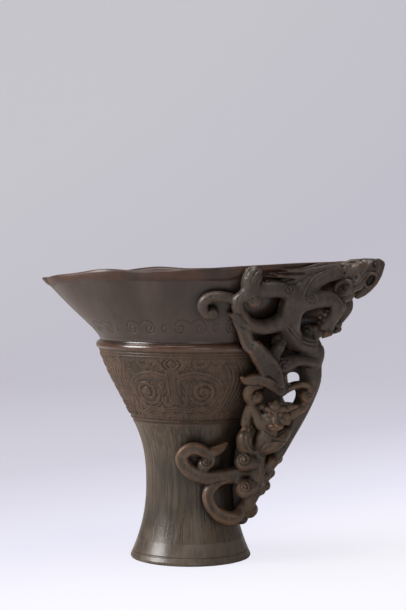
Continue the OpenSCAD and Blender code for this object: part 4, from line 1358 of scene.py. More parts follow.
    def clip(self) -> None:
        """Cuts the clay back to just under the wall of the cup."""
        sink = 0.8
        x, y, _ = self.grid(tuple(slice(0, n) for n in self.body.shape))
        a = np.degrees(np.arctan2(y[0, :, 0][None, :], x[:, 0, 0][:, None]))
        r = np.hypot(y[0, :, 0][None, :], x[:, 0, 0][:, None])
        rim_z, rim_r = WALL.rim_z(a), WALL.rim_r(a)
        self.core = np.empty(self.body.shape, np.float32)
        for k, level in enumerate(self.axes[2]):
            if level >= WALL.ledge_z:
                t = np.minimum((level - WALL.ledge_z) / (rim_z - WALL.ledge_z), 1)
                wall = WALL.mouth_at(rim_r, t)
            else:
                wall = float(WALL.wall_r(np.array(0.0), np.array(float(level))))
            self.core[:, :, k] = np.maximum(r - wall, level - rim_z)
        self.whole = self.body.copy()
        np.maximum(self.body, -self.core - sink, out=self.body)

    def wear_and_shade(self) -> None:
        """Works out the smoothed clay that tells worn edges from hollows, which take painted shade and some
        dirt.
        """
        reach = 2
        spread = np.clip(np.minimum(self.body, self.core), -reach, reach)
        for axis in (0, 1, 2):
            for _ in range(2):
                spread = (np.roll(spread, reach, axis) + np.roll(spread, -reach, axis) + spread) / 3
        self.spread = spread

    def mesh(self, index: int) -> bpy.types.Object:
        """Meshes the clay of one node, which runs on a little under that of its neighbours."""
        box = self.boxes[index]
        near, after = self.near[box], self.next[box]
        share = np.full(near.shape, FAR_OFF, np.float32)
        mine, mine_next = self.owner[box] == index, self.runner[box] == index
        share[mine] = ((near - after) / 2)[mine]
        share[mine_next] = ((after - near) / 2)[mine_next]
        lap, shrink = 0.5, 0.15
        form = np.maximum(self.body[box] + shrink * np.clip(share, 0, 2), share - lap)
        form = np.pad(form, 1, constant_values=1.0)
        grid = openvdb.FloatGrid(3.0)
        grid.copyFromArray(form.astype(np.float32))
        points, quads = grid.convertToQuads(isovalue=0.0)
        cell = points - 1 + np.array([part.start for part in box])
        spots = np.clip(np.rint(cell).astype(int), 0, np.array(self.body.shape) - 1)
        bend = self.spread[tuple(spots.T)]
        (worn_from, worn_span), (hollow_from, hollow_span) = (0.10, 0.35), (0.02, 0.22)
        # The hollow layer is painted shade, with some dirt, in the clay's hollows; the worn layer browns its
        # edges.
        layers = {
            "worn": np.clip((bend - worn_from) / worn_span, 0, 1),
            "hollow": np.clip((-bend - hollow_from) / hollow_span, 0, 1),
        }
        places = self.low + cell * self.voxel
        return mesh_object(self.names[index] + "_carved", places, quads.astype(np.int64), 180.0, layers)


def both(chain: Sequence[Row], column: int) -> list[Sequence[Row]]:
    """A chain of offsets, and its mirror image with the other sign in one column."""
    mirror = [[-value if place == column else value for place, value in enumerate(row)] for row in chain]
    return [chain, mirror]


STEM = [
    [0, 0.135, 0.040, 0.55], [0, 0.165, 0.085, 0.56], [0, 0.216, 0.172, 0.56], [0, 0.267, 0.250, 0.56],
    [0, 0.319, 0.330, 0.58], [0, 0.370, 0.402, 0.60], [0, 0.431, 0.445, 0.62], [0, 0.492, 0.452, 0.68],
    [0, 0.549, 0.435, 0.76], [0, 0.606, 0.395, 0.86], [0, 0.660, 0.322, 0.94], [0, 0.700, 0.292, 0.98],
]
WEB_EDGE = [
    [0.150, 0.060], [0.216, 0.172], [0.267, 0.250], [0.319, 0.330], [0.370, 0.402], [0.431, 0.445],
    [0.492, 0.452], [0.549, 0.435], [0.606, 0.395], [0.660, 0.322], [0.710, 0.290], [0.760, 0.200],
]
WEB_HOLES = [[0.609, 0.232, 3.5, 1.2], [0.551, 0.282, 3.4, 0.85]]
CLOUD = [
    [[0, 0.770, 0.050, 0.90], [2.5, 0.769, 0.318, 0.80]], [[0, 0.800, 0.050, 1], [-3.0, 0.815, 0.328, 0.92]],
    [[0, 0.835, 0.050, 1], [3.2, 0.855, 0.315, 0.84]], [[0, 0.870, 0.050, 1], [-2.6, 0.895, 0.276, 0.95]],
    [[0, 0.905, 0.050, 1], [2.4, 0.932, 0.295, 0.95]], [[0, 0.940, 0.050, 0.95], [-1.5, 0.962, 0.235, 0.9]],
]
BODY_ROWS = [
    [0, 0.690, 0.298, 0.90], [4, 0.713, 0.262, 0.90], [9, 0.730, 0.220, 0.88], [15, 0.752, 0.180, 0.90],
    [22.4, 0.790, 0.150, 0.96], [27.6, 0.838, 0.135, 1], [28.6, 0.886, 0.120, 0.98],
    [24.8, 0.933, 0.100, 0.86], [17.5, 0.962, 0.115, 0.72],
]
NECKS = {Side.NEAR: [12, 0.970, 0.180, 0.62], Side.FAR: [9.6, 0.976, 0.300, 0.62]}
HEADS = {Side.NEAR: [10.9, 0.963, 0.220, 1], Side.FAR: [8.4, 0.979, 0.318, 1]}
HEAD_SHARES = {Side.NEAR: 1.0, Side.FAR: 1.2}
HEAD_LINKS = {
    Side.NEAR: [
        [[-1.1, 0.1, 0, 0.72], [-0.1, 0, 0.08, 0.88], [0.6, -0.05, 0.18, 0.70], [1.08, -0.1, 0.40, 0.56],
         [1.26, -0.1, 0.60, 0.48], [1.06, -0.1, 0.74, 0.34]],
        [[0.1, 0, -0.62, 0.58], [0.62, -0.02, -0.58, 0.48], [1.0, -0.05, -0.30, 0.36],
         [1.2, -0.05, 0.02, 0.22]],
        *both([[-0.5, 0.5, 0.42, 0.22], [-0.1, 0.55, 0.66, 0.27], [0.35, 0.45, 0.62, 0.22],
               [0.62, 0.32, 0.44, 0.14]], 1),
        [[-0.8, 0.3, 0.50, 0.30], [-1.35, 0.46, 0.50, 0.24], [-1.9, 0.6, 0.36, 0.14]],
        [[-0.8, -0.2, 0.50, 0.28], [-1.35, -0.3, 0.52, 0.22], [-1.9, -0.4, 0.40, 0.12]],
        [[-0.2, -0.2, -0.7, 0.58], [0.1, -0.6, -1.5, 0.42]],
    ],
    Side.FAR: [
        [[-1.1, 0.1, 0, 0.62], [-0.3, 0, 0.08, 0.64], [0.3, 0, 0.14, 0.56], [0.68, 0, 0.28, 0.42],
         [0.86, 0, 0.24, 0.36]],
        [[0.80, 0, 0.05, 0.37], [0.62, 0, -0.45, 0.40], [0.30, 0, -1.0, 0.42], [0, 0, -1.32, 0.36]],
        [[-0.3, 0, -0.40, 0.60], [0.2, 0, -0.50, 0.50], [0, 0, -1.0, 0.45]],
        [[0.30, 0, -1.0, 0.42], [-0.1, 0, -1.45, 0.42], [-0.5, 0, -1.80, 0.40], [-0.85, 0, -2.08, 0.30]],
        *both([[-1.1, 0.40, -1.0, 0.13], [-0.35, 0.52, -0.25, 0.16], [0.1, 0.50, 0.30, 0.16],
               [0.55, 0.36, 0.52, 0.14], [0.98, 0.22, 0.40, 0.10]], 1),
        [[-0.8, 0.3, 0.40, 0.28], [-1.35, 0.46, 0.42, 0.22], [-1.9, 0.6, 0.30, 0.12]],
        [[-0.8, -0.3, 0.40, 0.28], [-1.35, -0.4, 0.42, 0.22], [-1.9, -0.5, 0.32, 0.12]],
    ],
}
EYELETS = {
    Side.NEAR: (-0.10, 0.62, -1.24, 0.80, 0.50, 25, 0.22),
    Side.FAR: (0.12, 0.44, -0.98, 0.58, 0.38, 55, 0.15),
}
HEAD_EYES = {Side.NEAR: (0.08, 0.86, 0.34, 0.30), Side.FAR: (0.48, 0.46, 0.26, 0.20)}
MANE = [
    [[13, 0.985, 0.140, 1.1], [21, 0.981, 0.085, 1.1], [29, 0.975, 0.055, 0.9], [37, 0.973, 0.040, 0.5]],
    [[17, 0.968, 0.110, 1.1], [25, 0.962, 0.075, 1.1], [34, 0.957, 0.050, 0.8], [42, 0.962, 0.035, 0.5]],
    [[24, 0.945, 0.090, 1], [31, 0.941, 0.065, 1], [38, 0.936, 0.050, 0.8], [43, 0.943, 0.035, 0.5]],
]
FORELEG = [
    [31, 0.905, 0.100, 1.15], [38.7, 0.914, 0.090, 1.10], [44.5, 0.913, 0.072, 1.15],
    [48.6, 0.915, 0.062, 1.25], [50.6, 0.929, 0.062, 1.30], [51.0, 0.944, 0.062, 1.25],
    [50.6, 0.956, 0.060, 1.28],
]
HINDLEG = [
    [27.8, 0.866, 0.140, 1.30], [26, 0.877, 0.210, 1.35], [21.5, 0.881, 0.270, 1.15],
    [18.2, 0.880, 0.325, 1], [16.5, 0.867, 0.385, 0.92], [15.6, 0.842, 0.440, 0.90],
    [15.3, 0.815, 0.450, 0.85], [15.2, 0.792, 0.440, 0.90],
]
TAIL = [
    [25, 0.816, 0.125, 1.40], [32, 0.799, 0.112, 1.30], [39, 0.791, 0.095, 1.18],
    [47.6, 0.806, 0.085, 1.06], [53.6, 0.842, 0.085, 1.00], [56.0, 0.874, 0.092, 0.96],
    [54.2, 0.893, 0.104, 0.92], [50.8, 0.890, 0.112, 0.92], [48.6, 0.880, 0.112, 1.0],
]
HOOK = [
    [54, 0.873, 0.052, 0.72], [58.5, 0.886, 0.050, 0.80], [63, 0.892, 0.048, 0.84],
    [67.7, 0.890, 0.046, 0.88], [71.0, 0.878, 0.046, 0.88], [71.8, 0.857, 0.046, 0.86],
    [69.6, 0.837, 0.046, 0.82], [66.6, 0.838, 0.048, 0.90],
]
PROP = [
    [53.5, 0.817, 0.055, 0.62], [49.1, 0.783, 0.080, 0.76], [44.3, 0.735, 0.110, 0.95],
    [37, 0.690, 0.135, 1.25], [30, 0.652, 0.155, 1.40], [23.5, 0.612, 0.190, 1.15],
    [18.6, 0.580, 0.250, 0.85],
]
PROP_FORK = [
    [21, 0.765, 0.125, 0.95], [23.5, 0.730, 0.110, 0.78], [27, 0.694, 0.120, 0.90], [29, 0.660, 0.145, 1.10],
]
PROP_HAUNCH = [
    [17.8, 0.662, 0.170, 1.25], [13.8, 0.676, 0.240, 0.85], [9, 0.672, 0.310, 0.7], [3, 0.664, 0.370, 0.7],
]
FACE = [20.6, 0.498, 0.342, 1]
FACE_LINKS = [
    [[0, 0, 0.45, 0.82], [0, 0.05, -0.30, 0.76]],
    [[-0.6, 0.12, -0.12, 0.52], [0.6, 0.12, -0.12, 0.52]],
    *both([[0.52, 0.42, -0.40, 0.30], [0.40, 0.42, -0.62, 0.28]], 0),
    [[0, 0.58, 0.30, 0.22], [0, 0.62, -0.35, 0.27], [0.0, 0.70, -0.66, 0.34]],
    [[-0.34, 0.62, -0.86, 0.26], [0.0, 0.74, -0.94, 0.28], [0.36, 0.62, -0.86, 0.26]],
    *both([[0.86, 0.42, 0.42, 0.16], [0.62, 0.62, 0.52, 0.22], [0.12, 0.76, 0.20, 0.20]], 0),
    [[-0.75, 0.1, 0.50, 0.32], [-1.08, 0.15, 0.66, 0.26], [-1.42, 0.1, 0.80, 0.12]],
    [[0.75, 0.1, 0.48, 0.32], [1.15, 0.15, 0.60, 0.26], [1.6, 0.1, 0.70, 0.14]],
    [[0, 0.35, 0.80, 0.32], [0, 0.40, 1.02, 0.22], [0, 0.35, 1.22, 0.10]],
    *both([[0.3, 0.4, 0.76, 0.22], [0.48, 0.4, 0.98, 0.12]], 0),
    [[-0.1, 0.3, -1.05, 0.38], [-0.15, 0.25, -1.36, 0.20]],
    *both([[0.62, 0.3, -0.55, 0.24], [0.95, 0.3, -0.62, 0.16], [1.1, 0.3, -0.42, 0.10]], 0),
]
LEFT_LOCK = [
    [18.3, 0.572, 0.255, 0.70], [30.0, 0.609, 0.190, 0.95], [34.1, 0.619, 0.125, 1.12],
    [38.4, 0.618, 0.090, 1.00], [42.0, 0.617, 0.078, 0.66], [45.2, 0.627, 0.072, 0.30],
]
LEFT_CURL = [
    [30.3, 0.599, 0.125, 0.62], [37.1, 0.591, 0.100, 0.88], [36.9, 0.566, 0.100, 0.90],
    [31.6, 0.544, 0.115, 0.88], [30.2, 0.559, 0.130, 1.05],
]
RIGHT_LOCK = [
    [17.8, 0.566, 0.265, 0.52], [14.6, 0.587, 0.325, 0.52], [12.4, 0.595, 0.390, 0.54],
    [10.4, 0.591, 0.455, 0.62], [9.6, 0.570, 0.492, 0.78], [10.6, 0.556, 0.475, 1.0],
]
BACK = [
    [19, 0.470, 0.340, 0.8], [17.2, 0.444, 0.345, 0.9], [16.2, 0.410, 0.315, 1], [16.6, 0.369, 0.275, 1],
    [16.4, 0.326, 0.270, 1], [15.6, 0.283, 0.270, 1], [14.6, 0.237, 0.235, 0.95], [14, 0.196, 0.175, 0.85],
    [12, 0.160, 0.110, 0.7],
]
LEFT_HAUNCH = [
    [24.8, 0.443, 0.170, 0.80], [29.6, 0.421, 0.180, 0.98], [26.9, 0.390, 0.195, 0.98],
    [17.6, 0.367, 0.230, 0.90], [19, 0.375, 0.270, 0.9],
]
RIGHT_HAUNCH = [
    [11, 0.438, 0.465, 0.5], [14.2, 0.420, 0.435, 0.95], [17.3, 0.403, 0.390, 1.15], [18, 0.388, 0.330, 1],
]
CHEST = [[19.8, 0.434, 0.340, 1.20], [18.8, 0.410, 0.325, 1.34], [17.6, 0.384, 0.300, 1.05]]
LOW_JOINTS = [
    [[28.4, 0.338, 0.215, 1.15], [19, 0.335, 0.260, 1]], [[26.6, 0.248, 0.220, 1.1], [17, 0.255, 0.250, 1]],
]
LEFT_ARM = [
    [19.5, 0.462, 0.320, 1], [23.8, 0.466, 0.265, 1], [26.8, 0.500, 0.185, 0.9], [29.6, 0.524, 0.115, 0.8],
    [31, 0.500, 0.120, 0.75], [31.6, 0.468, 0.150, 0.75],
]
RIGHT_ARM = [
    [17.6, 0.470, 0.370, 0.95], [15.6, 0.490, 0.415, 0.9], [12.6, 0.508, 0.455, 0.85], [9, 0.520, 0.485, 0.8],
]
CLIMBER_TAIL = [
    [17, 0.306, 0.250, 0.90], [23, 0.306, 0.175, 0.85], [31, 0.300, 0.115, 0.85],
    [41.5, 0.294, 0.080, 0.95], [58.8, 0.291, 0.072, 1.05], [73.2, 0.303, 0.072, 1.10],
    [82.8, 0.328, 0.074, 1.08], [86.5, 0.358, 0.076, 1], [81, 0.383, 0.078, 0.92],
    [71.5, 0.388, 0.080, 0.88], [62.5, 0.372, 0.085, 0.86], [58.5, 0.348, 0.088, 0.84],
    [64, 0.335, 0.090, 0.86],
]
TAIL_BRANCH = [
    [62, 0.370, 0.085, 0.80], [53, 0.377, 0.082, 0.80], [45.5, 0.388, 0.078, 0.62], [40.5, 0.400, 0.070, 0.3],
]
RING_SCROLL = [
    [24, 0.262, 0.190, 0.9], [30, 0.283, 0.110, 0.9], [44.1, 0.281, 0.078, 0.9],
    [55.2, 0.257, 0.072, 0.9], [58.8, 0.225, 0.070, 0.9], [54.5, 0.187, 0.074, 0.9],
    [44.3, 0.160, 0.080, 1.05], [30.5, 0.148, 0.085, 1.05], [21, 0.158, 0.092, 0.9],
    [15, 0.184, 0.120, 0.7],
]
ROOT_KNOBS = [
    [[12, 0.300, 0.300, 0.8], [9.5, 0.334, 0.388, 1.25]],
    [[12, 0.262, 0.290, 0.8], [10.7, 0.283, 0.330, 1.15]],
    [[12, 0.225, 0.240, 0.8], [11.3, 0.239, 0.284, 1.2]],
    [[8, 0.175, 0.120, 1], [-2.7, 0.162, 0.135, 1.55]],
]


def spiral_px(u: float, v: float, r: float, turns: float, start: float) -> tuple[tuple[float, float], ...]:
    """Pixels of a flat spiral about a pixel."""
    return tuple((u + r * x, v + r * y) for x, y in curl(turns, start, 0.22, 12))


CUTS = [
    Detail(((245.8, 277.0), (248.6, 271.5), (253.0, 268.2)), 0.30, 0.34),
    Detail(((251.0, 281.0), (254.2, 274.5), (258.6, 270.0)), 0.30, 0.34),
    Detail(((256.6, 284.0), (259.6, 278.0), (262.6, 274.0)), 0.30, 0.34),
    Detail(((233.6, 312.0), (236.4, 320.5), (243.0, 328.0), (253.0, 332.6)), 0.24, 0.22),
    Detail(spiral_px(289.3, 289.7, 5.6, 1.6, 200), 0.34, 0.40),
    Detail(spiral_px(312.2, 299.8, 5.4, 1.6, 160), 0.34, 0.40),
    Detail(spiral_px(284.6, 364.8, 6.6, 1.6, 140), 0.36, 0.45),
    Detail(spiral_px(244.3, 460.0, 7.2, 1.7, 300), 0.40, 0.55),
    Detail(spiral_px(245.2, 487.6, 6.8, 1.6, 300), 0.40, 0.50),
    Detail(spiral_px(255.6, 396.6, 4.2, 1.3, 90), 0.30, 0.35),
    Detail(spiral_px(309.4, 395.8, 4.0, 1.3, 90), 0.30, 0.35),
    Detail(spiral_px(206.2, 461.6, 5.2, 1.4, 0), 0.36, 0.45),
    Detail(spiral_px(212.6, 314.0, 3.4, 1.1, 0), 0.30, 0.32),
    Detail(spiral_px(252.4, 301.2, 3.6, 1.1, 180), 0.30, 0.32),
    Detail(((287.7, 328.8), (297.0, 339.5), (312.0, 345.6), (323.0, 344.8)), 0.30, 0.34),
    Detail(((290.6, 326.4), (299.4, 336.4), (312.6, 341.8), (322.0, 341.2)), 0.30, 0.34),
    Detail(((272.0, 331.5), (256.0, 329.5), (243.5, 321.5), (236.8, 308.5), (238.6, 298.6)), 0.26, 0.26),
    Detail(((306.5, 295.5), (311.0, 285.0), (319.0, 276.5), (328.5, 271.5)), 0.30, 0.34),
    Detail(((303.0, 293.5), (308.0, 283.0), (316.5, 274.0), (326.0, 269.6)), 0.30, 0.30),
    Detail(((265.5, 431.5), (275.0, 437.5), (284.5, 432.0)), 0.30, 0.34),
    Detail(((266.0, 435.5), (275.0, 441.5), (284.0, 437.0)), 0.26, 0.26),
    Detail(((258.8, 451.5), (265.0, 444.5), (275.0, 441.0), (286.0, 442.5)), 0.32, 0.40),
    Detail(((259.5, 455.0), (269.0, 457.5), (279.0, 453.0), (287.0, 444.5)), 0.32, 0.40),
    Detail(((263.5, 451.0), (271.5, 448.0), (281.0, 446.0)), 0.26, 0.24),
    Detail(((248.5, 431.0), (244.6, 438.0), (245.6, 447.0), (250.5, 452.5)), 0.30, 0.34),
    Detail(((252.5, 434.0), (249.4, 440.0), (250.4, 446.0), (255.0, 450.5)), 0.30, 0.30),
    Detail(((256.5, 458.0), (258.5, 468.0), (258.0, 478.0), (255.5, 487.0)), 0.26, 0.26),
    Detail(((261.0, 457.0), (263.0, 468.0), (262.0, 480.0), (259.0, 492.0)), 0.26, 0.26),
    Detail(((247.4, 407.5), (246.2, 414.0), (246.4, 420.0)), 0.26, 0.24),
    Detail(((196.0, 492.0), (204.0, 487.5), (214.0, 484.0), (226.0, 480.5)), 0.24, 0.22),
    Detail(((282.8, 389.5), (291.5, 385.2), (302.0, 384.2), (310.5, 388.5)), 0.24, 0.24),
    Detail(((205.5, 300.0), (212.0, 296.8), (220.0, 296.6), (228.0, 299.0)), 0.24, 0.24),
    Detail(((279.0, 356.0), (284.5, 352.5), (291.5, 354.0)), 0.24, 0.24),
    Detail(((317.0, 292.8), (328.0, 292.6), (338.0, 295.6), (343.6, 302.5)), 0.26, 0.26),
]


class Handle:
    """The openwork handle of dragons, carved out of one block of clay."""

    voxel = 0.36
    dragon_r = 5.4
    leg_r = 3.2
    head_r = 4.8
    climber_r = 3.6
    face_r = 5.4
    scroll_r = 2.7
    knob_r = 2.2
    cloud_r = 4.0
    stem_r = 5.4
    web_half = 2.5
    web_root = -4.6
    limb_drop = 0.012
    face_drop = 0.018

    def __init__(self, shop: HornShop) -> None:
        """Keeps the shop that its finishes come from, and makes the block."""
        self.shop = shop
        self.clay = Clay((-4.0, -57.0, 11.0), (91.0, 57.0, 136.0), self.voxel)

    @staticmethod
    def settled(rows: Sequence[Row], side: Side, drop: float = 0.0) -> list[Row]:
        """Rows of the near side, or the same closer to the wall and lower on the far side."""
        if side is Side.NEAR:
            return list(rows)
        full_deg, turn_deg, drawn_in = 18, 8.5, 0.22
        out = []
        for a, z, reach, thick in rows:
            full = min(1.0, a / full_deg)
            out.append([a + turn_deg * full, z - drop, reach * (1 - drawn_in * full), thick])
        return out

    @staticmethod
    def web_place(share: Row, out: float = 0.0) -> list[float]:
        """Place in the middle plane at shares of the height and of the reach."""
        z = share[0] * WALL.cup_h
        return [float(WALL.wall_r(np.array(0.0), np.array(z))) + share[1] * WALL.reach + out, z]

    def middle(self) -> None:
        """Stem, web and the cloud between the two dragons."""
        clay, r = self.clay, self.cloud_r
        clay.press("handle_stem", [limb(STEM, self.stem_r, Side.NEAR)], 1.0)
        edge = [self.web_place(share) for share in WEB_EDGE]
        edge += [self.web_place([share[0], 0], self.web_root) for share in reversed(WEB_EDGE)]
        holes = np.array([[*self.web_place(hole), *hole[2:]] for hole in WEB_HOLES])
        clay.plate("handle_web", np.array(edge), holes, self.web_half)
        knobs = []
        for i, roll in enumerate(CLOUD):
            knobs.append(link(roll, r, Side.NEAR))
            for way in (-1, 1):
                apart, lift, thick = (1.02, 0.8, 0.66) if (i + way) % 4 < 2 else (0.78, -0.7, 0.80)
                for at in (
                    beside(roll[1], -r * 0.8, way * r * apart, lift, thick),
                    beside(roll[1], -r * 0.1, way * r * 0.7, 1.6, 0.36),
                ):
                    knobs.append(link([at, at], r, Side.NEAR))
        clay.press("cloud_knobs", knobs, 0.7)
        for side in Side:
            for roll in CLOUD:
                clay.cut([ring_about(roll[1], (-0.8, 1.52, 0.0, 0.46, 0.14), r, side, 1.2, 0.25)], 0.25)

    def press(self, side: Side, part: str, lines: Sequence[Line], blend: float) -> None:
        """Presses the lines of one side's member into the clay."""
        self.clay.press(PREFIX[side] + part, lines, blend)

    def strands(self, lock: Sequence[Row], side: Side) -> list[Line]:
        """Three wavy strands of one lock of the mane."""
        lines = []
        for k, (up, out, share) in enumerate(((1.0, -0.2, 0.50), (0.0, 0.5, 0.60), (-1.0, -0.1, 0.50))):
            rows = []
            for i, row in enumerate(lock):
                rise = up * (0.55 + 0.5 * row[3]) + 0.45 * math.sin(2.1 * i + 1.4 * k)
                thin = share * (1 - 0.22 * i)
                rows.append(beside(row, out, 1.6 * k * i / 3, rise, row[3] * thin))
            lines.append(limb(rows, self.knob_r * 0.85, side))
        return lines

    def rim_dragon(self, side: Side) -> None:
        """The great dragon of one side: body, legs, tail, head and mane."""
        self.press(side, "rim_dragon_body", [limb(BODY_ROWS + [NECKS[side]], self.dragon_r, side)], 2.4)
        self.press(side, "rim_dragon_foreleg", [limb(FORELEG, self.leg_r, side)], 2.6)
        toes = paw(FORELEG[-1], self.leg_r * 0.92, side, 102, 0.54)
        self.press(side, "rim_dragon_foreleg", toes, 0.6)
        self.press(side, "rim_dragon_hindleg", [limb(HINDLEG, self.leg_r, side)], 2.2)
        self.press(side, "rim_dragon_hindleg", paw(HINDLEG[-1], self.leg_r * 1.15, side, 250), 0.6)
        knuckles = [
            [0.2, 0.5, 1.6, 0.34], [0.1, 0.5, 0.9, 0.36], [-0.5, 0.5, 1.2, 0.30], [-0.6, 0.4, 0.5, 0.32],
        ]
        balls = links_about(HINDLEG[-1], [[one, one] for one in knuckles], self.leg_r, side)
        self.press(side, "rim_dragon_hindleg", balls, 0.5)
        self.press(side, "rim_dragon_tail", [limb(TAIL, self.scroll_r, side)], 2.4)
        self.press(side, "rim_dragon_tail", [link([TAIL[-1]] * 2, self.scroll_r * 1.25, side)], 0.8)
        hook_end = link([HOOK[-1]] * 2, self.scroll_r * 1.1, side)
        self.press(side, "tail_hook", [limb(HOOK, self.scroll_r, side), hook_end], 0.6)
        head, size = HEADS[side], self.head_r * HEAD_SHARES[side]
        self.press(side, "rim_dragon_head", links_about(head, HEAD_LINKS[side], size, side), 0.7)
        rings = [eyelet(head, EYELETS[side], face, size, side)[0] for face in (-1, 1)]
        if side is Side.NEAR:
            rings.append(ring_about(head, (0.95, 0.25, -0.35, 0.36, 0.19), size, side))
        self.press(side, "rim_dragon_head", rings, 0.3)
        for lock in MANE:
            self.press(side, "rim_dragon_mane", self.strands(lock, side), 0.35)

    def climber(self, side: Side) -> None:
        """The young dragon of one side and the scrolls under it."""
        clay, leg_r, scroll_r = self.clay, self.leg_r, self.scroll_r
        tail = limb(CLIMBER_TAIL, scroll_r * 1.12, side)
        ring = limb(RING_SCROLL, scroll_r * 1.08, side)
        self.press(side, "climber_tail", [tail, limb(TAIL_BRANCH, scroll_r, side)], 0.8)
        self.press(side, "ring_scroll", [ring], 0.8)
        clay.channel(self.part_of(tail, 10, 50), 1.5, 0.85)
        clay.channel(self.part_of(ring, 6, 30), 1.5, 0.75)
        self.press(side, "climber_tail", [link([CLIMBER_TAIL[-1]] * 2, scroll_r * 1.3, side)], 0.6)
        prop_rows = self.settled(PROP, side)
        prop = limb(prop_rows, leg_r * 1.08, side, 1.15)
        fork, haunch = (limb(self.settled(rows, side), leg_r, side) for rows in (PROP_FORK, PROP_HAUNCH))
        self.press(side, "prop_leg", [prop, fork], 1.2)
        clay.channel(prop, 1.3, 0.6, FACING[side])
        self.press(side, "prop_leg", [haunch], 1.2)
        self.press(side, "prop_leg", paw(prop_rows[0], leg_r * 1.05, side, 95, 0.36), 0.5)
        locks = []
        for table, ball_share in ((LEFT_LOCK, 0.5), (LEFT_CURL, 1.08), (RIGHT_LOCK, 1.0)):
            rows = self.settled(table, side, self.limb_drop)
            locks += [limb(rows, scroll_r * 0.9, side), link([rows[-1]] * 2, scroll_r * ball_share, side)]
        self.press(side, "climber_mane", locks, 0.6)
        clay.channel(locks[0], 1.2, 0.45, FACING[side])
        shapes = (BACK, LEFT_HAUNCH, RIGHT_HAUNCH, CHEST, *LOW_JOINTS)
        bodies = [limb(self.settled(rows, side), self.climber_r, side) for rows in shapes]
        self.press(side, "climber_body", bodies, 1.2)
        self.press(side, "climber_head", self.on_face(side, *FACE_LINKS), 0.6)
        arms = [self.settled(rows, side, self.limb_drop) for rows in (LEFT_ARM, RIGHT_ARM)]
        self.press(side, "climber_arms", [limb(rows, self.climber_r * 0.8, side) for rows in arms], 0.9)
        for rows, turn in zip(arms, (270, 120)):
            self.press(side, "climber_arms", paw(rows[-1], self.climber_r * 0.75, side, turn), 0.4)
        knobs = [link(pair, self.knob_r, side) for pair in ROOT_KNOBS]
        self.press(side, "root_knobs", knobs, 0.6)

    @staticmethod
    def part_of(line: Line, first: int, last: int) -> Line:
        """Stretch of a line between two of its points."""
        return Line(line.points[first:last], line.radii[first:last], line.flat, line.up)

    @staticmethod
    def turned_row(row: Row) -> list[float]:
        """Offset from the face's middle, turned so that the face looks sideways."""
        turn = math.radians(28)
        out, across, up, thick = row
        return [
            out * math.cos(turn) + across * math.sin(turn), across * math.cos(turn) - out * math.sin(turn),
            up, thick,
        ]

    def on_face(self, side: Side, *chains: Sequence[Row]) -> list[Line]:
        """Lines at offsets from the middle of the young dragon's turned face."""
        turned = [[self.turned_row(row) for row in chain] for chain in chains]
        return links_about(self.settled([FACE], side, self.face_drop)[0], turned, self.face_r, side)

    def features(self, side: Side) -> None:
        """Eyes, nostrils, mouths and brows of the two heads of one side."""
        clay = self.clay
        lids = [
            [[way * 0.42 + 0.23 * x, 0.84, 0.10 + 0.22 * y, 0.065] for x, y in curl(1, 0, 1, 12)]
            for way in (-1, 1)
        ]
        clay.cut(self.on_face(side, *lids))
        clay.add(self.on_face(side, *[[[way * 0.42, 0.74, 0.10, 0.18]] * 2 for way in (-1, 1)]))
        clay.add(self.on_face(side, *[[[way * 0.20, 1.02, -0.76, 0.13]] * 2 for way in (-1, 1)]))
        mouth = [[-0.5, 0.82, -1.0, 0.07], [0.0, 1.06, -0.98, 0.07], [0.5, 0.82, -1.0, 0.07]]
        crest = [[0.0, 1.0, 0.42, 0.07], [0.0, 0.98, 0.02, 0.07]]
        clay.cut(self.on_face(side, mouth, crest))
        head, r = HEADS[side], self.head_r * HEAD_SHARES[side]
        out, across, up, eye_r = HEAD_EYES[side]
        clay.cut([ring_about(head, (out, way * across, up, eye_r, 0.09), r, side) for way in (-1, 1)])
        balls = [[[out, way * (across - 0.12), up, eye_r * 0.7]] * 2 for way in (-1, 1)]
        clay.add(links_about(head, balls, r, side))
        clay.cut([eyelet(head, EYELETS[side], face, r, side)[1] for face in (-1, 1)])
        if side is Side.NEAR:
            nostrils = [[[1.22, way * 0.36, 0.72, 0.17]] * 2 for way in (-1, 1)]
            clay.add(links_about(head, nostrils, r, side))
            lips = [[1.35, 0.45, 0.30, 0.09], [0.8, 0.62, -0.16, 0.09], [0.2, 0.85, -0.30, 0.08]]
            clay.cut(links_about(head, [lips], r, side))

    def carve(self) -> None:
        """Presses and carves the whole handle."""
        self.middle()
        for side in Side:
            self.rim_dragon(side)
            self.climber(side)
            self.features(side)
            for detail in CUTS:
                lines = self.clay.drawn(detail, side)
                if lines:
                    self.clay.cut(lines, 0.25)
            LOG.info("carved the %s side", side.name.lower())
        self.clay.clip()
        self.clay.wear_and_shade()

    def cast(self) -> None:
        """Meshes each node's share of the clay."""
        for index, name in enumerate(self.clay.names):
            piece = self.clay.mesh(index)
            upper = any(word in name for word in ("rim_", "prop", "hook", "stem", "web", "cloud"))
            finish = DRAGON_HORN if upper else CLIMBER_HORN
            piece.data.materials.append(self.shop.material(finish))
            seat(piece, name)
            LOG.info("meshed %s: %d faces", name, len(piece.data.polygons))

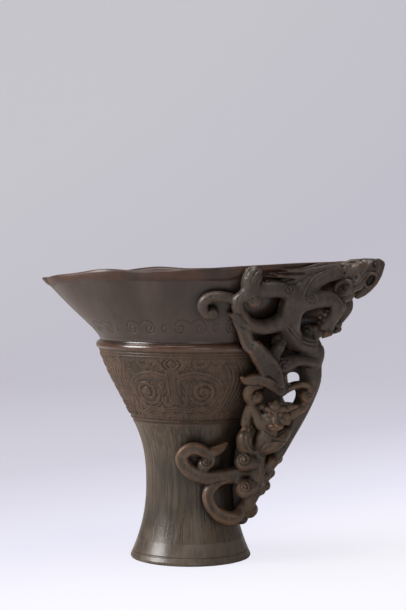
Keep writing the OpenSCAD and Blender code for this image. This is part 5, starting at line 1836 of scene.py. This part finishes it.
class BandCurls:
    """Small raised curls in rows on the spout's side of the band."""

    def __init__(self, shop: HornShop) -> None:
        """Keeps the shop that its finish comes from."""
        self.shop = shop

    def tree(self) -> bpy.types.NodeTree:
        """Geometry nodes that lay curls in rows on a cone.

        Returns:
            The node group, with its sizes as named inputs.
        """
        tree = new_group(
            "CurlRows", "GeometryNodeTree",
            {
                "Geometry": GEOMETRY, "Rows": INTEGER, "Columns": INTEGER, "First Angle": FLOAT,
                "Pitch": FLOAT, "Low Z": FLOAT, "High Z": FLOAT, "Low Radius": FLOAT,
                "High Radius": FLOAT, "Curl Radius": FLOAT, "Wire Radius": FLOAT, "Seed": INTEGER,
                "Material": "NodeSocketMaterial",
            },
            {"Geometry": GEOMETRY},
        )
        given = add_node(tree, "NodeGroupInput").outputs

        def work(operation: str, *values: object) -> bpy.types.NodeSocket:
            """Adds a sum of sockets or numbers, and gives its result."""
            return maths(tree, operation, *values)

        wind = add_node(tree, "GeometryNodeCurveSpiral", {
            "Resolution": 14, "Rotations": 1.35, "Height": 0.0, "End Radius": given["Curl Radius"],
            "Start Radius": work("MULTIPLY", given["Curl Radius"], 0.2),
        })
        wire = add_node(tree, "GeometryNodeCurvePrimitiveCircle", {
            "Resolution": 6, "Radius": given["Wire Radius"],
        })
        tube = add_node(tree, "GeometryNodeCurveToMesh", {
            "Fill Caps": True, "Curve": wind.outputs["Curve"], "Profile Curve": wire.outputs["Curve"],
        })
        index = add_node(tree, "GeometryNodeInputIndex").outputs[0]
        row = work("FLOOR", work("DIVIDE", index, given["Columns"]))
        column = work("MODULO", index, given["Columns"])
        odd = work("MULTIPLY", work("MODULO", row, 2.0), 0.5)
        turn = work("MULTIPLY", work("ADD", column, odd), given["Pitch"])
        angle = work("ADD", given["First Angle"], turn)
        share = work("DIVIDE", work("ADD", row, 0.5), given["Rows"])

        def rise(what: str) -> bpy.types.NodeSocket:
            """Difference between the high and the low one of two named inputs."""
            return work("SUBTRACT", given[f"High {what}"], given[f"Low {what}"])

        def between(what: str) -> bpy.types.NodeSocket:
            """Value at the row's share of the way from the low to the high one of two named inputs."""
            return work("ADD", given[f"Low {what}"], work("MULTIPLY", rise(what), share))

        radius = between("Radius")
        spot = add_node(tree, "ShaderNodeCombineXYZ", {
            "X": work("MULTIPLY", radius, work("COSINE", angle)),
            "Y": work("MULTIPLY", radius, work("SINE", angle)), "Z": between("Z"),
        })
        points = add_node(tree, "GeometryNodePoints", {
            "Count": work("MULTIPLY", given["Rows"], given["Columns"]), "Position": spot.outputs[0],
        })
        quarter = math.pi / 2
        lean = add_node(tree, "ShaderNodeCombineXYZ", {
            "X": work("ADD", work("ARCTAN2", rise("Radius"), rise("Z")), quarter),
            "Z": work("ADD", angle, quarter),
        })
        least, most = 2, 3
        any_size = add_node(tree, "FunctionNodeRandomValue", {
            least: 0.82, most: 1.12, "Seed": given["Seed"],
        }, data_type="FLOAT")
        lay = add_node(tree, "GeometryNodeInstanceOnPoints", {
            "Points": points.outputs[0], "Instance": tube.outputs[0], "Rotation": lean.outputs[0],
            "Scale": any_size.outputs[1],
        })
        real = add_node(tree, "GeometryNodeRealizeInstances", {0: lay.outputs[0]})
        finish = add_node(tree, "GeometryNodeSetMaterial", {
            "Geometry": real.outputs[0], "Material": given["Material"],
        })
        add_node(tree, "NodeGroupOutput", {0: finish.outputs[0]})
        return tree

    def build(self) -> None:
        """Bakes the curls and lets them ride on the cup."""
        tree = self.tree()
        seedling = bpy.data.objects.new("curl_rows", bpy.data.meshes.new("curl_rows"))
        bpy.context.scene.collection.objects.link(seedling)
        laid = seedling.modifiers.new("curls", "NODES")
        laid.node_group = tree
        low_z, high_z = 63.6, 91.0
        low_r, high_r = (float(WALL.band_wall_r(np.array(z))) - 0.02 for z in (low_z, high_z))
        values = {
            "Rows": 8, "Columns": 17, "First Angle": math.radians(129), "Pitch": math.radians(6.2),
            "Low Z": low_z * MM, "High Z": high_z * MM, "Low Radius": low_r * MM, "High Radius": high_r * MM,
            "Curl Radius": 1.35 * MM, "Wire Radius": 0.42 * MM, "Seed": 3,
            "Material": self.shop.material(BAND_HORN),
        }
        for item in tree.interface.items_tree:
            if item.in_out == "INPUT" and item.name in values:
                laid[item.identifier] = values[item.name]
        seedling.update_tag()
        graph = bpy.context.evaluated_depsgraph_get()
        mesh = bpy.data.meshes.new_from_object(seedling.evaluated_get(graph))
        bpy.data.objects.remove(seedling)
        piece = bpy.data.objects.new("band_curls", mesh)
        bpy.context.scene.collection.objects.link(piece)
        mesh.shade_smooth()
        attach(piece, BODY)
        LOG.info("made the band's curls: %d faces", len(mesh.polygons))
# Room


@dataclass(frozen=True)
class Room:
    """Plain floor, backdrop, lamps and camera."""

    pixel: float = 0.44
    axis_px: float = 190.5
    horizon_px: float = 250.0
    image_px: tuple[int, int] = (406, 610)
    distance: float = 691.0
    camera_z: float = 135.0
    turn_deg: float = 12.0
    aside_share: float = 1.0
    seen_albedo: float = 0.15
    shaded: float = 0.132

    def ways(self) -> tuple[Row, Row]:
        """Level directions to the right of the camera and away from it."""
        turn = math.radians(self.turn_deg)
        return (math.cos(turn), math.sin(turn), 0), (-math.sin(turn), math.cos(turn), 0)

    def camera(self) -> None:
        """Camera at the photograph's angle, turned a little so that it needs no shift."""
        right, depth = (Vector(way) for way in self.ways())
        aside = (self.image_px[0] / 2 - self.axis_px) * self.pixel
        down = (self.image_px[1] / 2 - self.horizon_px) * self.pixel
        look = depth * self.distance + right * aside - Vector((0, 0, down))
        data = bpy.data.cameras.new("camera")
        data.sensor_width = 36.0
        data.lens = look.length / self.pixel * data.sensor_width / self.image_px[1]
        data.clip_start, data.clip_end = 0.01, 20.0
        eye = bpy.data.objects.new("camera", data)
        eye.location = (-depth * self.distance + Vector((0, 0, self.camera_z))) * MM
        eye.rotation_euler = look.to_track_quat("-Z", "Y").to_euler()
        bpy.context.scene.collection.objects.link(eye)
        bpy.context.scene.camera = eye

    def rays(self, pixels: np.ndarray) -> tuple[np.ndarray, np.ndarray]:
        """The camera's place in millimetres, and the direction through each pixel."""
        right, depth = (np.array(way) for way in self.ways())
        eye = -depth * self.distance + np.array([0, 0, self.camera_z])
        aside = (pixels[:, :1] - self.axis_px) * self.pixel
        down = (pixels[:, 1:] - self.horizon_px) * self.pixel
        ways = depth * self.distance + right * aside - np.array([0, 0, 1.0]) * down
        return eye, ways / np.linalg.norm(ways, axis=1, keepdims=True)

    def stage_material(self) -> bpy.types.Material:
        """Pale material that glows for the camera, half shaded by the lamps: painted light whose brightness
        follows height and distance and falls off to the left.
        """
        stuff = bpy.data.materials.new("glowing_paper")
        stuff.use_nodes = True
        tree = stuff.node_tree
        tree.nodes.clear()
        right, depth = self.ways()
        slope = (depth[0] - self.aside_share * right[0], depth[1] - self.aside_share * right[1], 1.0)
        place = add_node(tree, "ShaderNodeTexCoord").outputs["Object"]
        along = add_node(tree, "ShaderNodeVectorMath", {0: place, 1: slope}, operation="DOT_PRODUCT")
        reach = add_node(tree, "ShaderNodeMapRange", {
            "From Min": -0.2, "From Max": 2.0, "Value": along.outputs["Value"],
        })
        ramp = add_node(tree, "ShaderNodeValToRGB", {"Fac": reach.outputs["Result"]})
        # Painted light: the glow is brightest on the near floor and greyer up the backdrop and to the left.
        stops = (
            (0.055, (250, 249, 255)), (0.086, (246, 245, 255)), (0.134, (234, 233, 247)),
            (0.20, (222, 220, 233)), (0.259, (212, 210, 222)), (0.50, (205, 203, 213)),
            (0.657, (202, 200, 210)), (0.898, (207, 206, 212)),
        )
        while len(ramp.color_ramp.elements) < len(stops):
            ramp.color_ramp.elements.new(0.5)
        for element, (where, colour) in zip(ramp.color_ramp.elements, stops):
            element.position = where
            element.color = (*(max(value - self.shaded, 0) for value in linear(*colour)), 1)
        glow = add_node(tree, "ShaderNodeEmission", {"Color": ramp.outputs["Color"]})
        grey = (self.seen_albedo, self.seen_albedo, self.seen_albedo, 1)
        seen = add_node(tree, "ShaderNodeBsdfDiffuse", {"Color": grey})
        plain = add_node(tree, "ShaderNodeBsdfDiffuse", {"Color": (*linear(206, 198, 192), 1)})
        both_seen = add_node(tree, "ShaderNodeAddShader", {0: seen.outputs[0], 1: glow.outputs[0]})
        ray = add_node(tree, "ShaderNodeLightPath")
        mix = add_node(tree, "ShaderNodeMixShader", {
            "Fac": ray.outputs["Is Camera Ray"], 1: plain.outputs[0], 2: both_seen.outputs[0],
        })
        add_node(tree, "ShaderNodeOutputMaterial", {"Surface": mix.outputs[0]})
        return stuff

    def stage(self) -> None:
        """Floor that bends up into a backdrop."""
        back, half, front, bend, top = 900.0, 2600.0, 1500.0, 500.0, 2400.0
        arc = [math.radians(t) for t in range(0, 91, 6)]
        profile = [(-front, 0.0)]
        profile += [(back + bend * math.sin(t), bend - bend * math.cos(t)) for t in arc]
        profile += [(back + bend, top)]
        right, away = (np.array(way) for way in self.ways())
        points = [right * side + away * depth + [0, 0, z] for depth, z in profile for side in (-half, half)]
        faces = [(2 * i, 2 * i + 1, 2 * i + 3, 2 * i + 2) for i in range(len(profile) - 1)]
        floor = mesh_object("paper_sweep", np.array(points), np.array(faces), 60.0)
        floor.data.materials.append(self.stage_material())

    def lamp(self, name: str, place: Row, aim: Row, size: float, watts: float, colour: Colour) -> None:
        """One soft area lamp."""
        data = bpy.data.lights.new(name, "AREA")
        data.shape = "DISK"
        data.size = size
        data.energy = watts
        data.color = colour
        lamp = bpy.data.objects.new(name, data)
        lamp.location = place
        lamp.rotation_euler = (Vector(aim) - Vector(place)).to_track_quat("-Z", "Y").to_euler()
        bpy.context.scene.collection.objects.link(lamp)

    def lights(self) -> None:
        """Soft lamps from the left and above, with a faint fill, and an even world."""
        aim = (0.0, 0.0, 0.08)
        self.lamp("key_left", (-0.85, -0.45, 0.55), aim, 0.6, 9.2, (1.0, 0.98, 0.97))
        self.lamp("top", (-0.1, -0.1, 1.1), aim, 0.8, 5.9, (1.0, 1.0, 1.0))
        self.lamp("fill_front", (0.5, -1.1, 0.35), aim, 0.6, 1.0, (1.0, 1.0, 1.0))
        world = bpy.data.worlds.new("even_air")
        bpy.context.scene.world = world
        world.use_nodes = True
        back = world.node_tree.nodes["Background"]
        back.inputs["Color"].default_value = (0.90, 0.89, 0.92, 1)
        back.inputs["Strength"].default_value = 0.20

    def build(self) -> None:
        """Builds the room."""
        self.camera()
        self.stage()
        self.lights()
        bpy.context.scene.view_settings.view_transform = "Standard"


ROOM = Room()


def write_sizes() -> None:
    """Brings the scene's placements up to date."""
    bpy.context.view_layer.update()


def main() -> None:
    """Builds the room and the cup, one piece after the other."""
    logging.basicConfig(level=logging.INFO, format="%(message)s")
    ROOM.build()
    shop = HornShop()
    handle = Handle(shop)
    handle.carve()
    Cup(shop, handle.clay).build()
    handle.cast()
    BandCurls(shop).build()
    write_sizes()


if __name__ == "__main__":
    main()
